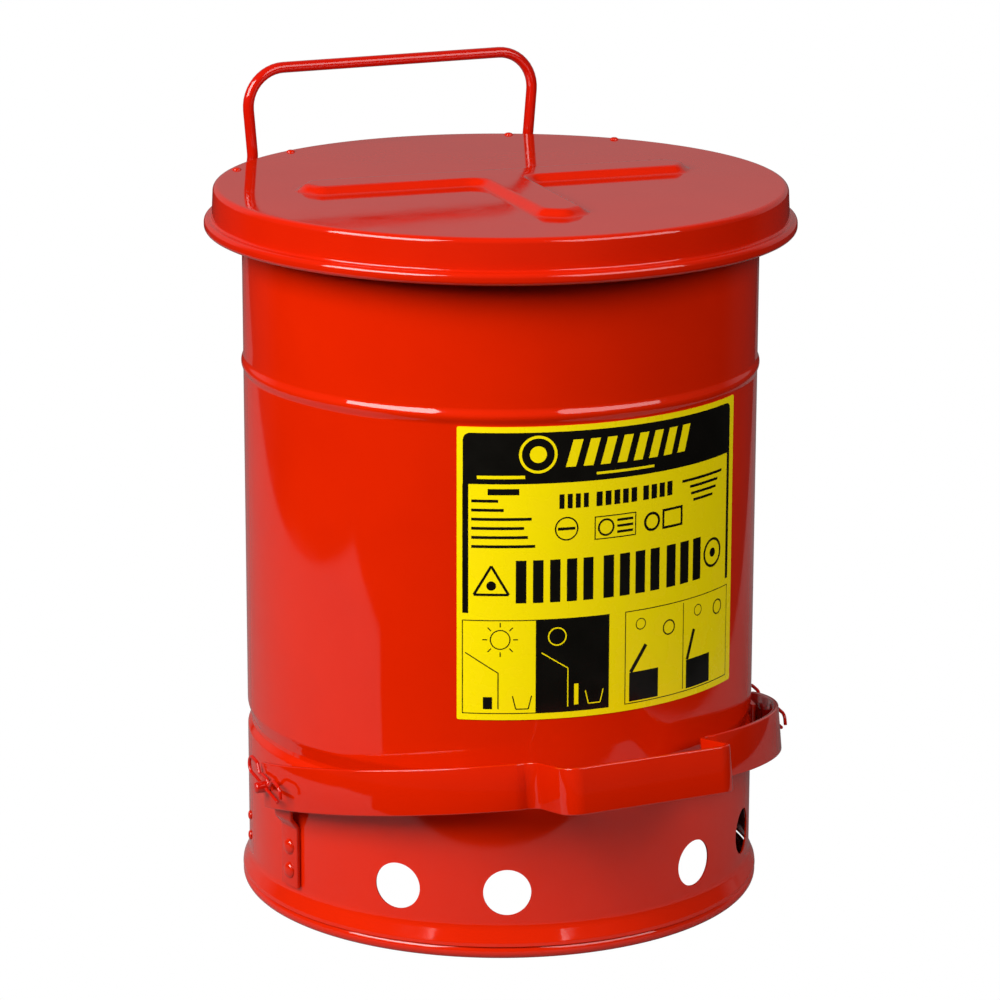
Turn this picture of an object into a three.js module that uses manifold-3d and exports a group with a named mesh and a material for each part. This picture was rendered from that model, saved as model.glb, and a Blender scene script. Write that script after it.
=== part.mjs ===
// Foot-operated oily-waste can: a round steel can with a raised bottom, a wide overlapping lid that
// falls shut by its own weight, a foot lever that wraps round the front, and a bent-rod handle.
// Millimetres, +Z up, the floor at z = 0, the front (pedal side) towards -Y. The parts are placed from the
// can's own axis, and the whole is then moved so that the origin is under the middle of its outline.
import * as THREE from "three";
import { mergeVertices } from "three/addons/utils/BufferGeometryUtils.js";
import Module from "manifold-3d";

const wasm = await Module();
wasm.setup();

// ---------- driving dimensions ----------
const BODY_RADIUS = 145;
const BODY_HEIGHT = 404.8;
const SHEET = 0.9;
const CLEARANCE = 0.3;
const TURN_SEGMENTS = 60;

const FOOT_ROLL_RADIUS = 4.3;
const FOOT_ROLL_INSET = 0.6;
const FLARE_HEIGHT = 13;
const FLARE_OUT = 2.2;
const RIM_ROLL_RADIUS = 2.9;
const RIM_ROLL_OUT = 0.9;
const FLOOR_HEIGHT = 101.8;
const FLOOR_FLANGE = 12;
const CRIMP_DROP = 4.8;
const CRIMP_HALF_HEIGHT = 4.5;
const CRIMP_DEPTH = 2;
const BEAD_HEIGHT = 306;
const BEAD_HALF_HEIGHT = 5;
const BEAD_OUT = 1.2;
const VENT_RADIUS = 13.2;
const VENT_HEIGHT = 38;
const VENT_ANGLES = [23.5, 48];

const SEAM_ANGLE = -124;
const SKIRT_RIVET_ANGLE = -106;
const SEAM_WIDTH = 8;
const SEAM_RIVET_HEIGHTS = [28.5, 40.5];
const LABEL_BOTTOM = 137.4;
const LABEL_HEIGHT = 163.4;
const LABEL_ARC = 180.5;
const LABEL_ANGLE = 1.1;
const LABEL_THICKNESS = 0.4;

const LID_OVERHANG = 15.7;
const LID_SKIRT_DEPTH = 24.7;
const LID_FLARE = 0.9;
const LID_SHOULDER = 3.1;
const LID_ROLL_OUT = 4.4;
const LID_ROLL_HEIGHT = 6.6;
const RIB_HEIGHT = 4;
const RIB_FLAT_WIDTH = 20;
const RIB_SLOPE = 6;
const RIB_BAR_HALF = 111;
const RIB_BAR_SETBACK = 8.5;
const RIB_FRONT_REACH = 105;
const RIB_FILLET = 12;
const RIB_TURN = -6;
const LID_STRAP_MARGIN = 2;
const LID_STRAP_THICKNESS = 1.6;
const LID_RIVET_ANGLES = [27, 51];

const HINGE_BEHIND_LID = 10;
const HINGE_BELOW_ROLL = 5.5;
const HINGE_LEAF_WIDTH = 24;
const HINGE_LEAF_THICKNESS = 2;
const HINGE_EAR_THICKNESS = 3;
const HINGE_EYE_RADIUS = 7;
const LUG_DROP = 17;
const LUG_THICKNESS = 3.5;
const LUG_TIP_PAST_ROD = 2;
const HINGE_PLATE_BELOW_AXIS = 26;
const HINGE_PLATE_TALL = 28;
const HINGE_PLATE_THICKNESS = 2;
const HINGE_RIVET_MARGIN = 8;
const HINGE_EAR_GAP = 1.5;
const LEAF_RIVET_BELOW_TOP = 9;
const LEAF_RIVET_SPREAD = 0.28;
const LEAF_END_MARGIN = 5;

const ROD_DIAMETER = 6.4;
const RUNNING_CLEARANCE = 0.3;
const HANDLE_HALF_WIDTH = 93;
const HANDLE_FOOT_HALF_WIDTH = 88.5;
const HANDLE_RISE = 47.5;
const HANDLE_SETBACK = 5;
const HANDLE_CORNER = 22;

const LIFT_ROD_DIAMETER = 6;
const LIFT_ROD_STANDOFF = 9;
const LIFT_ROD_GAP = 0.8;
const YOKE_FOOT_GAP = 1;
const LIFT_FOOT_DIAMETER = 15.5;
const LIFT_FOOT_THICKNESS = 3;
const GUIDE_HEIGHTS = [130, 280];
const GUIDE_TALL = 14;
const GUIDE_THICKNESS = 2;
const GUIDE_HALF_WIDTH = 18;
const GUIDE_BORE_CLEARANCE = 0.4;
const GUIDE_RIVET_MARGIN = 5.5;

const PIVOT_BACK = -30;
const PIVOT_HEIGHT = 82;
const LEVER_THICKNESS = 3;
const LEVER_TALL = 25.4;
const LEVER_STANDOFF = 10;
const LEVER_ARC_BACK = -9;
const LEVER_TAIL = 8;
const LEVER_TILT = 10.8;
const TOE_HALF_WIDTH = 50;
const TOE_PAST_BODY = 52;
const TOE_CORNER = 9;
const LEVER_ROOT_CORNER = 9;
const PIN_PROUD = 8;
const WASHER_RADIUS = 7;
const WASHER_THICKNESS = 1.2;
const YOKE_DROP_ANGLE = 8;
const YOKE_INSET = 26;
const YOKE_NOSE_HALF = 5;
const YOKE_KNEE_INSIDE = 40;
const YOKE_KNEE_BEND = 25;
const YOKE_SIDE_BEND = 10;
const YOKE_SLOT_MARGIN = 3;
const PIN_HOLE_MARGIN = 1.3;
const CLIP_WIRE = 2;
const CLIP_STANDOFF = 0.6;
const CLIP_SIZE = 1.25;
const CLIP_TURN = 9;

const BRACKET_WIDTH = 15;
const BRACKET_THICKNESS = 2.5;
const BRACKET_BOTTOM = 22;
const BRACKET_JOGGLE_HEIGHT = 61;
const BRACKET_JOGGLE_OUT = 4.5;
const BRACKET_RIVET_HEIGHTS = [31, 45];
const RIVET_SHANK_RADIUS = 2.4;
const RIVET_HEAD_RADIUS = 4.8;
const RIVET_HEAD_HEIGHT = 2.4;
const SMALL_RIVET = 0.7;
const DRILL_LENGTH = 20;

// ---------- worked out from them ----------
const WALL_INSIDE = BODY_RADIUS - SHEET;
const CRIMP_HEIGHT = FLOOR_HEIGHT - CRIMP_DROP;
const LID_UNDERSIDE = BODY_HEIGHT + CLEARANCE;
const LEVER_ARC_RADIUS = BODY_RADIUS + LEVER_STANDOFF + LEVER_THICKNESS / 2;
const TOE_REACH = BODY_RADIUS + TOE_PAST_BODY;
const LID_TOP = LID_UNDERSIDE + SHEET;
const LID_RADIUS = BODY_RADIUS + LID_OVERHANG;
const RIM_OUTSIDE = BODY_RADIUS + RIM_ROLL_OUT + RIM_ROLL_RADIUS;
const LID_STRAP_WIDTH = LID_RADIUS - SHEET - RIM_OUTSIDE - 2 * LID_STRAP_MARGIN;
const LID_BOTTOM = LID_TOP - LID_SKIRT_DEPTH;
const LID_ROLL_RADIUS = LID_RADIUS + LID_FLARE + LID_ROLL_OUT;
const HINGE_BACK = LID_ROLL_RADIUS + HINGE_BEHIND_LID;
const HINGE_HEIGHT = LID_BOTTOM - HINGE_BELOW_ROLL;
const ROD_RADIUS = ROD_DIAMETER / 2;
const PIN_BORE = ROD_RADIUS + RUNNING_CLEARANCE;
const LIFT_ROD_RADIUS = LIFT_ROD_DIAMETER / 2;
const LIFT_ROD_BACK = BODY_RADIUS + LIFT_ROD_STANDOFF;
const LIFT_ROD_TOP = HINGE_HEIGHT - LUG_DROP - LIFT_ROD_GAP;
const LEVER_PIVOT_SIDE = Math.sqrt(LEVER_ARC_RADIUS ** 2 - (PIVOT_BACK - LEVER_ARC_BACK) ** 2);
const LEVER_CURVE_IN = LEVER_PIVOT_SIDE
  - Math.sqrt(LEVER_ARC_RADIUS ** 2 - (PIVOT_BACK - WASHER_RADIUS - LEVER_ARC_BACK) ** 2);
const PIN_END = LEVER_PIVOT_SIDE + LEVER_THICKNESS / 2 + PIN_PROUD;
const YOKE_SIDE = BODY_RADIUS - YOKE_INSET;
const YOKE_SLOPE = Math.tan(THREE.MathUtils.degToRad(YOKE_DROP_ANGLE));
const BRACKET_ANGLE = THREE.MathUtils.radToDeg(Math.asin(-PIVOT_BACK / BODY_RADIUS));
const BRACKET_AZIMUTH = 90 - BRACKET_ANGLE;

// ---------- finishes ----------
function enamel(hex) {
  return new THREE.MeshStandardMaterial({ color: hex, roughness: 0.28, metalness: 0.0 });
}

const RED = 0xd01c08;
const LABEL_YELLOW = 0xf4dd1e;

// ---------- geometry helpers ----------
/** Point at an angle from the front (-Y), turning towards +X, at a radius and height. */
function around(angle, radius, z = 0) {
  const turn = THREE.MathUtils.degToRad(angle);
  return new THREE.Vector3(radius * Math.sin(turn), -radius * Math.cos(turn), z);
}

/** Closed indexed geometry with shared vertices, no slivers, and its faces pointing out. */
function closed(geometry) {
  const bare = new THREE.BufferGeometry();
  bare.setAttribute("position", geometry.getAttribute("position").clone());
  if (geometry.index) bare.setIndex(geometry.index.clone());
  const merged = mergeVertices(bare, 1e-4);
  const position = merged.getAttribute("position");
  const corners = merged.index.array;
  const kept = [];
  const a = new THREE.Vector3();
  const b = new THREE.Vector3();
  const c = new THREE.Vector3();
  let volume = 0;
  for (let i = 0; i < corners.length; i += 3) {
    const [p, q, r] = [corners[i], corners[i + 1], corners[i + 2]];
    if (p === q || q === r || r === p) continue;
    kept.push(p, q, r);
    a.fromBufferAttribute(position, p);
    b.fromBufferAttribute(position, q);
    c.fromBufferAttribute(position, r);
    volume += a.dot(b.cross(c));
  }
  if (volume < 0) {
    for (let i = 0; i < kept.length; i += 3) [kept[i + 1], kept[i + 2]] = [kept[i + 2], kept[i + 1]];
  }
  merged.setIndex(kept);
  return merged;
}

/** Solid made from a closed geometry, for joining and cutting. */
function solid(geometry) {
  const shape = closed(geometry);
  const vertProperties = new Float32Array(shape.getAttribute("position").array);
  const triVerts = new Uint32Array(shape.index.array);
  return new wasm.Manifold(new wasm.Mesh({ numProp: 3, vertProperties, triVerts }));
}

/** Geometry of a joined or cut solid. */
function geometryOf(body) {
  const mesh = body.getMesh();
  const geometry = new THREE.BufferGeometry();
  geometry.setAttribute("position", new THREE.BufferAttribute(new Float32Array(mesh.vertProperties), 3));
  geometry.setIndex(new THREE.BufferAttribute(new Uint32Array(mesh.triVerts), 1));
  return geometry;
}

/** Ring or disc turned about Z from (radius, height) points. */
function turned(points, segments = TURN_SEGMENTS) {
  const profile = points.map(([radius, height]) => new THREE.Vector2(radius, height));
  const first = profile[0];
  const last = profile[profile.length - 1];
  if (first.x > 0 || last.x > 0) profile.push(first.clone());
  return closed(new THREE.LatheGeometry(profile, segments).rotateX(Math.PI / 2));
}

/** Round section for a rolled edge, as (radius, height) points, with a flat under and over it. */
function rollSection(centreRadius, centreHeight, rollRadius, sides = 10) {
  const points = [];
  const cornerRadius = rollRadius / Math.cos(Math.PI / sides);
  for (let i = 0; i < sides; i += 1) {
    const turn = (i / sides) * 2 * Math.PI;
    const outward = cornerRadius * Math.cos(turn);
    const upward = cornerRadius * Math.sin(turn);
    points.push([centreRadius + outward, centreHeight + upward]);
  }
  return points;
}

/** Outline through a list of [x, y] points. */
function outline(points) {
  return new THREE.Shape(points.map(([x, y]) => new THREE.Vector2(x, y)));
}

/** Flat outline given a thickness along +Z. */
function slab(shape, depth, curveSegments = 12) {
  return new THREE.ExtrudeGeometry(shape, { depth, bevelEnabled: false, curveSegments });
}

/** Side outline in (y, z), given a width centred on the X = 0 plane or between two sides. */
function sideSlab(shape, fromX, toX) {
  const geometry = slab(shape, toX - fromX);
  geometry.applyMatrix4(new THREE.Matrix4().makeBasis(
    new THREE.Vector3(0, 1, 0),
    new THREE.Vector3(0, 0, 1),
    new THREE.Vector3(1, 0, 0),
  ));
  return geometry.translate(fromX, 0, 0);
}

/** Cylinder along a direction through a point. */
function bar(centre, direction, radius, length, sides = 16) {
  const geometry = new THREE.CylinderGeometry(radius, radius, length, sides);
  const along = direction.clone().normalize();
  const turn = new THREE.Quaternion().setFromUnitVectors(new THREE.Vector3(0, 1, 0), along);
  geometry.applyQuaternion(turn);
  return geometry.translate(centre.x, centre.y, centre.z);
}

/** Box between two opposite corners. */
function block(low, high) {
  const size = high.map((value, axis) => value - low[axis]);
  const middle = high.map((value, axis) => (value + low[axis]) / 2);
  return new THREE.BoxGeometry(...size).translate(...middle);
}

/** Path of a rod bent at corners: straight runs joined by round bends. */
class BentPath extends THREE.Curve {
  constructor(corners, bendSteps = 6) {
    super();
    this.stations = [corners[0].point.clone()];
    for (let i = 1; i < corners.length - 1; i += 1) this.addBend(corners, i, bendSteps);
    this.stations.push(corners[corners.length - 1].point.clone());
  }

  addBend(corners, i, bendSteps) {
    const { point, radius } = corners[i];
    const towards = corners[i - 1].point.clone().sub(point).normalize();
    const away = corners[i + 1].point.clone().sub(point).normalize();
    const half = towards.angleTo(away) / 2;
    const setback = radius / Math.tan(half);
    const middle = towards.clone().add(away).normalize().multiplyScalar(radius / Math.sin(half));
    const centre = point.clone().add(middle);
    const start = point.clone().addScaledVector(towards, setback).sub(centre);
    const finish = away.clone().multiplyScalar(setback).add(point).sub(centre);
    const axis = start.clone().cross(finish).normalize();
    const sweep = Math.PI - 2 * half;
    for (let step = 0; step <= bendSteps; step += 1) {
      this.stations.push(start.clone().applyAxisAngle(axis, (sweep * step) / bendSteps).add(centre));
    }
  }

  get steps() {
    return this.stations.length - 1;
  }

  getPoint(t, target = new THREE.Vector3()) {
    const place = Math.min(t * this.steps, this.steps - 1e-9);
    const from = Math.floor(place);
    return target.lerpVectors(this.stations[from], this.stations[from + 1], place - from);
  }

  getPointAt(u, target) {
    return this.getPoint(u, target);
  }

  getTangent(t, target = new THREE.Vector3()) {
    const index = Math.round(t * this.steps);
    const before = this.stations[Math.max(index - 1, 0)];
    const here = this.stations[index];
    const after = this.stations[Math.min(index + 1, this.steps)];
    const into = here.clone().sub(before).normalize();
    const out = after.clone().sub(here).normalize();
    return target.copy(into).add(out).normalize();
  }

  getTangentAt(u, target) {
    return this.getTangent(u, target);
  }
}

/** Round rod or wire bent along a path. */
function bentRod(corners, radius, sides = 12, bendSteps = 6) {
  const path = new BentPath(corners, bendSteps);
  const section = new THREE.Shape();
  section.absarc(0, 0, radius, 0, 2 * Math.PI);
  return closed(new THREE.ExtrudeGeometry(section, {
    extrudePath: path,
    steps: path.steps,
    curveSegments: sides / 2,
    bevelEnabled: false,
  }));
}

function corner(x, y, z, radius = 0) {
  return { point: new THREE.Vector3(x, y, z), radius };
}

/** Rivet along +Z: domed head above z = 0, shank through the stack, flat tail below it. */
function rivetGeometry(stack, scale = 1) {
  const head = RIVET_HEAD_RADIUS * scale;
  const dome = RIVET_HEAD_HEIGHT * scale;
  const shank = RIVET_SHANK_RADIUS * scale;
  const tail = -stack - CLEARANCE;
  return turned([
    [0, dome],
    [head * 0.5, dome * 0.86],
    [head * 0.87, dome * 0.5],
    [head, 0],
    [shank, 0],
    [shank, tail],
    [head * 0.8, tail],
    [head * 0.7, tail - dome * 0.5],
    [0, tail - dome * 0.5],
  ], 12);
}

// ---------- assembly helpers ----------
const can = new THREE.Group();

function add(name, geometry, hex = RED, parent = can) {
  const mesh = new THREE.Mesh(geometry, enamel(hex));
  mesh.name = name;
  parent.add(mesh);
  return mesh;
}

/** Rivet whose head sits just clear of the surface at `point`, pointing along `outward`. */
function addRivet(name, point, outward, stack, scale = 1) {
  const mesh = add(name, rivetGeometry(stack + CLEARANCE, scale));
  mesh.position.copy(point).addScaledVector(outward, CLEARANCE);
  mesh.quaternion.setFromUnitVectors(new THREE.Vector3(0, 0, 1), outward);
  return mesh;
}

/** Clearance hole for a rivet shank. */
function shankHole(point, outward, scale = 1) {
  return bar(point, outward, RIVET_SHANK_RADIUS * scale + CLEARANCE, DRILL_LENGTH, 16);
}

const OUT_BACK = new THREE.Vector3(0, 1, 0);
const SIDES = [["left", -1], ["right", 1]];

// ---------- can body ----------
const seamRivetPoints = SEAM_RIVET_HEIGHTS.map((z) => around(SKIRT_RIVET_ANGLE, BODY_RADIUS, z));
const guideRivetSpots = [];
for (const height of GUIDE_HEIGHTS) {
  for (const [side, sign] of SIDES) {
    const x = sign * (GUIDE_HALF_WIDTH - GUIDE_RIVET_MARGIN);
    guideRivetSpots.push({ height, side, x });
  }
}
const guideBase = BODY_RADIUS + CLEARANCE;
const bracketPlateTop = HINGE_HEIGHT - HINGE_PLATE_BELOW_AXIS;
const bracketPlateBottom = bracketPlateTop - HINGE_PLATE_TALL;
const bracketRivetHeights = [bracketPlateBottom + HINGE_RIVET_MARGIN, bracketPlateTop - HINGE_RIVET_MARGIN];

function shellOutline() {
  const flareTop = 2 * FOOT_ROLL_RADIUS + FLARE_HEIGHT;
  return [
    [FLARE_OUT, 2 * FOOT_ROLL_RADIUS + CLEARANCE],
    [FLARE_OUT * 0.8, 2 * FOOT_ROLL_RADIUS + FLARE_HEIGHT * 0.35],
    [0, flareTop],
    [0, CRIMP_HEIGHT - CRIMP_HALF_HEIGHT],
    [-CRIMP_DEPTH, CRIMP_HEIGHT - CRIMP_HALF_HEIGHT * 0.3],
    [-CRIMP_DEPTH, CRIMP_HEIGHT + CRIMP_HALF_HEIGHT * 0.3],
    [0, CRIMP_HEIGHT + CRIMP_HALF_HEIGHT],
    [0, BEAD_HEIGHT - BEAD_HALF_HEIGHT],
    [BEAD_OUT * 0.8, BEAD_HEIGHT - BEAD_HALF_HEIGHT * 0.5],
    [BEAD_OUT, BEAD_HEIGHT],
    [BEAD_OUT * 0.8, BEAD_HEIGHT + BEAD_HALF_HEIGHT * 0.5],
    [0, BEAD_HEIGHT + BEAD_HALF_HEIGHT],
    [0, BODY_HEIGHT - 2 * RIM_ROLL_RADIUS - CLEARANCE],
  ].map(([out, height]) => [BODY_RADIUS + out, height]);
}

const yokeHeightAt = (back) => PIVOT_HEIGHT - (back - PIVOT_BACK) * YOKE_SLOPE;
const slotHalfWidth = YOKE_NOSE_HALF + ROD_RADIUS + YOKE_SLOT_MARGIN;
const yokeSlotBottom = yokeHeightAt(BODY_RADIUS) - ROD_RADIUS - YOKE_SLOT_MARGIN - 1;
const yokeSlotTop = PIVOT_HEIGHT + ROD_RADIUS;

function makeShell() {
  const outer = shellOutline();
  const inner = outer.map(([radius, height]) => [radius - SHEET, height]).reverse();
  let shell = solid(turned([...outer, ...inner]));
  const cut = (geometry) => {
    shell = shell.subtract(solid(geometry));
  };
  for (const angle of VENT_ANGLES) {
    for (const azimuth of [angle, -angle, 180 - angle, 180 + angle]) {
      const middle = around(azimuth, BODY_RADIUS, VENT_HEIGHT);
      cut(bar(middle, around(azimuth, 1), VENT_RADIUS, DRILL_LENGTH, 24));
    }
  }
  for (const [, sign] of SIDES) {
    const side = new THREE.Vector3(sign * BODY_RADIUS, PIVOT_BACK, PIVOT_HEIGHT);
    cut(bar(side, new THREE.Vector3(1, 0, 0), ROD_RADIUS + PIN_HOLE_MARGIN, 30, 16));
    for (const z of BRACKET_RIVET_HEIGHTS) {
      cut(shankHole(around(sign * BRACKET_AZIMUTH, BODY_RADIUS, z), around(sign * BRACKET_AZIMUTH, 1)));
    }
  }
  for (const point of seamRivetPoints) cut(shankHole(point, around(SKIRT_RIVET_ANGLE, 1), SMALL_RIVET));
  for (const { height, x } of guideRivetSpots) {
    cut(shankHole(new THREE.Vector3(x, BODY_RADIUS, height), OUT_BACK, SMALL_RIVET));
  }
  for (const z of bracketRivetHeights) cut(shankHole(new THREE.Vector3(0, BODY_RADIUS, z), OUT_BACK));
  const slotLow = [-slotHalfWidth, BODY_RADIUS - DRILL_LENGTH / 2, yokeSlotBottom];
  cut(block(slotLow, [slotHalfWidth, BODY_RADIUS + DRILL_LENGTH / 2, yokeSlotTop]));
  return geometryOf(shell);
}

add("body_shell", makeShell());
add("foot_ring", turned(rollSection(BODY_RADIUS - FOOT_ROLL_INSET, FOOT_ROLL_RADIUS, FOOT_ROLL_RADIUS)));
const rimRollMiddle = BODY_RADIUS + RIM_ROLL_OUT;
add("rim_ring", turned(rollSection(rimRollMiddle, BODY_HEIGHT - RIM_ROLL_RADIUS, RIM_ROLL_RADIUS)));
add("bottom_pan", turned([
  [0, FLOOR_HEIGHT],
  [WALL_INSIDE - CLEARANCE, FLOOR_HEIGHT],
  [WALL_INSIDE - CLEARANCE, FLOOR_HEIGHT + FLOOR_FLANGE],
  [WALL_INSIDE - CLEARANCE - SHEET, FLOOR_HEIGHT + FLOOR_FLANGE],
  [WALL_INSIDE - CLEARANCE - SHEET, FLOOR_HEIGHT + SHEET],
  [0, FLOOR_HEIGHT + SHEET],
]));

// Lap seam of the wrapped sheet, and the two small rivets that close the skirt beside it.
const seamBottom = FLOOR_HEIGHT + CRIMP_HALF_HEIGHT;
const seamTop = BEAD_HEIGHT - BEAD_HALF_HEIGHT - 2;
const seam = add("side_seam", new THREE.BoxGeometry(SEAM_WIDTH, 0.8, seamTop - seamBottom));
seam.position.copy(around(SEAM_ANGLE, BODY_RADIUS + CLEARANCE + 0.5, (seamTop + seamBottom) / 2));
seam.rotation.z = THREE.MathUtils.degToRad(SEAM_ANGLE);
seamRivetPoints.forEach((point, i) => {
  addRivet(`seam_rivet_${i + 1}`, point, around(SKIRT_RIVET_ANGLE, 1), SHEET, SMALL_RIVET);
});

function curvedPlate(innerRadius, thickness, arcLength, middleAngle, height) {
  const half = arcLength / innerRadius / 2;
  const middle = THREE.MathUtils.degToRad(middleAngle - 90);
  const plate = new THREE.Shape();
  plate.absarc(0, 0, innerRadius + thickness, middle - half, middle + half, false);
  plate.absarc(0, 0, innerRadius, middle + half, middle - half, true);
  return closed(slab(plate, height, 24));
}

const label = curvedPlate(BODY_RADIUS + CLEARANCE, LABEL_THICKNESS, LABEL_ARC, LABEL_ANGLE, LABEL_HEIGHT);
add("label", label, LABEL_YELLOW).position.z = LABEL_BOTTOM;

// ---------- pivot brackets ----------
// Side view of the strap in (out from the wall, height): flat foot, joggle, upright ear.
const earTop = PIVOT_HEIGHT + BRACKET_WIDTH / 2;
const strapSide = outline([
  [0, BRACKET_BOTTOM],
  [BRACKET_THICKNESS, BRACKET_BOTTOM],
  [BRACKET_THICKNESS, BRACKET_JOGGLE_HEIGHT - 4],
  [BRACKET_THICKNESS + BRACKET_JOGGLE_OUT, BRACKET_JOGGLE_HEIGHT + 2],
  [BRACKET_THICKNESS + BRACKET_JOGGLE_OUT, earTop],
  [BRACKET_JOGGLE_OUT, earTop],
  [BRACKET_JOGGLE_OUT, BRACKET_JOGGLE_HEIGHT + 2.5],
  [0, BRACKET_JOGGLE_HEIGHT - 3.5],
]);

for (const [side, sign] of SIDES) {
  const azimuth = sign * BRACKET_AZIMUTH;
  const strap = slab(strapSide, BRACKET_WIDTH).translate(0, 0, -BRACKET_WIDTH / 2);
  // outwards, up and across the strap become the wall's own directions at this azimuth
  const outwards = around(azimuth, 1);
  const up = new THREE.Vector3(0, 0, 1);
  strap.applyMatrix4(new THREE.Matrix4().makeBasis(outwards, up, outwards.clone().cross(up)));
  const foot = around(azimuth, BODY_RADIUS + CLEARANCE);
  strap.translate(foot.x, foot.y, 0);
  const pin = new THREE.Vector3(sign * BODY_RADIUS, PIVOT_BACK, PIVOT_HEIGHT);
  let bracket = solid(strap).subtract(solid(bar(pin, new THREE.Vector3(1, 0, 0), PIN_BORE, 40, 24)));
  for (const z of BRACKET_RIVET_HEIGHTS) {
    bracket = bracket.subtract(solid(shankHole(around(azimuth, BODY_RADIUS, z), outwards)));
  }
  add(`pivot_bracket_${side}`, geometryOf(bracket));
  BRACKET_RIVET_HEIGHTS.forEach((z, i) => {
    const surface = around(azimuth, BODY_RADIUS + CLEARANCE + BRACKET_THICKNESS, z);
    addRivet(`bracket_rivet_${side}_${i + 1}`, surface, outwards, BRACKET_THICKNESS + CLEARANCE + SHEET);
  });
}

// ---------- lid ----------
function lidOutline() {
  const shoulder = LID_SHOULDER;
  const skirtFoot = LID_RADIUS + LID_FLARE;
  const rollMiddle = LID_BOTTOM + LID_ROLL_HEIGHT / 2;
  const outside = [
    [0, LID_TOP],
    [LID_RADIUS - shoulder, LID_TOP],
    [LID_RADIUS - shoulder * 0.5, LID_TOP - shoulder * 0.13],
    [LID_RADIUS - shoulder * 0.13, LID_TOP - shoulder * 0.5],
    [LID_RADIUS, LID_TOP - shoulder],
    [skirtFoot, LID_BOTTOM + LID_ROLL_HEIGHT + 2],
    [skirtFoot + 1, LID_BOTTOM + LID_ROLL_HEIGHT + 0.4],
    [LID_ROLL_RADIUS - 1.4, LID_BOTTOM + LID_ROLL_HEIGHT],
    [LID_ROLL_RADIUS - 0.3, LID_BOTTOM + LID_ROLL_HEIGHT - 1.3],
    [LID_ROLL_RADIUS, rollMiddle],
    [LID_ROLL_RADIUS - 0.5, LID_BOTTOM + 1.2],
    [LID_ROLL_RADIUS - 2, LID_BOTTOM],
    [skirtFoot, LID_BOTTOM],
    [skirtFoot - SHEET, LID_BOTTOM + 1],
  ];
  const inside = [
    [skirtFoot - SHEET, LID_BOTTOM + LID_ROLL_HEIGHT],
    [LID_RADIUS - SHEET, LID_TOP - shoulder],
    [LID_RADIUS - SHEET * 1.6, LID_UNDERSIDE - shoulder * 0.2],
    [LID_RADIUS - shoulder, LID_UNDERSIDE],
    [0, LID_UNDERSIDE],
  ];
  return [...outside, ...inside];
}

/** Flat top of the pressed rib: a cross bar with one arm towards the front, inner corners rounded. */
function ribOutline() {
  const half = RIB_FLAT_WIDTH / 2;
  const near = RIB_BAR_SETBACK - half;
  const far = RIB_BAR_SETBACK + half;
  const tip = half * 0.6;
  const shape = new THREE.Shape();
  shape.moveTo(-RIB_BAR_HALF + tip, far);
  shape.lineTo(-RIB_BAR_HALF, RIB_BAR_SETBACK);
  shape.lineTo(-RIB_BAR_HALF + tip, near);
  shape.lineTo(-half - RIB_FILLET, near);
  shape.absarc(-half - RIB_FILLET, near - RIB_FILLET, RIB_FILLET, Math.PI / 2, 0, true);
  shape.lineTo(-half, -RIB_FRONT_REACH + tip);
  shape.lineTo(0, -RIB_FRONT_REACH);
  shape.lineTo(half, -RIB_FRONT_REACH + tip);
  shape.lineTo(half, near - RIB_FILLET);
  shape.absarc(half + RIB_FILLET, near - RIB_FILLET, RIB_FILLET, Math.PI, Math.PI / 2, true);
  shape.lineTo(RIB_BAR_HALF - tip, near);
  shape.lineTo(RIB_BAR_HALF, RIB_BAR_SETBACK);
  shape.lineTo(RIB_BAR_HALF - tip, far);
  return shape;
}

/** Raised rib solid whose foot is at height `foot`: sloped sides, flat top. */
function ribSolid(foot) {
  const rib = new THREE.ExtrudeGeometry(ribOutline(), {
    depth: 1,
    bevelThickness: RIB_HEIGHT,
    bevelSize: RIB_SLOPE,
    bevelSegments: 1,
    curveSegments: 6,
  });
  rib.rotateZ(THREE.MathUtils.degToRad(RIB_TURN)).translate(0, 0, foot - 1);
  const reach = LID_RADIUS * 2;
  return solid(rib).subtract(solid(block([-reach, -reach, foot - 20], [reach, reach, foot - 0.5])));
}

const strapMiddle = (RIM_OUTSIDE + LID_RADIUS - SHEET) / 2 - 0.6;
const lidRivetPoints = [];
for (const angle of LID_RIVET_ANGLES) {
  lidRivetPoints.push(around(180 - angle, strapMiddle, LID_TOP));
  lidRivetPoints.push(around(180 + angle, strapMiddle, LID_TOP));
}
const leafFace = LID_RADIUS + LID_FLARE + CLEARANCE;
const leafRivetHeight = LID_TOP - LEAF_RIVET_BELOW_TOP;
const leafRivetSpots = SIDES.map(([side, sign]) => [side, sign * HINGE_LEAF_WIDTH * LEAF_RIVET_SPREAD]);

function makeLid() {
  let lid = solid(turned(lidOutline())).add(ribSolid(LID_TOP)).subtract(ribSolid(LID_TOP - SHEET));
  for (const point of lidRivetPoints) {
    lid = lid.subtract(solid(shankHole(point, new THREE.Vector3(0, 0, 1), SMALL_RIVET)));
  }
  for (const [, x] of leafRivetSpots) {
    const spot = new THREE.Vector3(x, leafFace, leafRivetHeight);
    lid = lid.subtract(solid(shankHole(spot, OUT_BACK, SMALL_RIVET)));
  }
  return geometryOf(lid);
}

add("lid_pan", makeLid());

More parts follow.
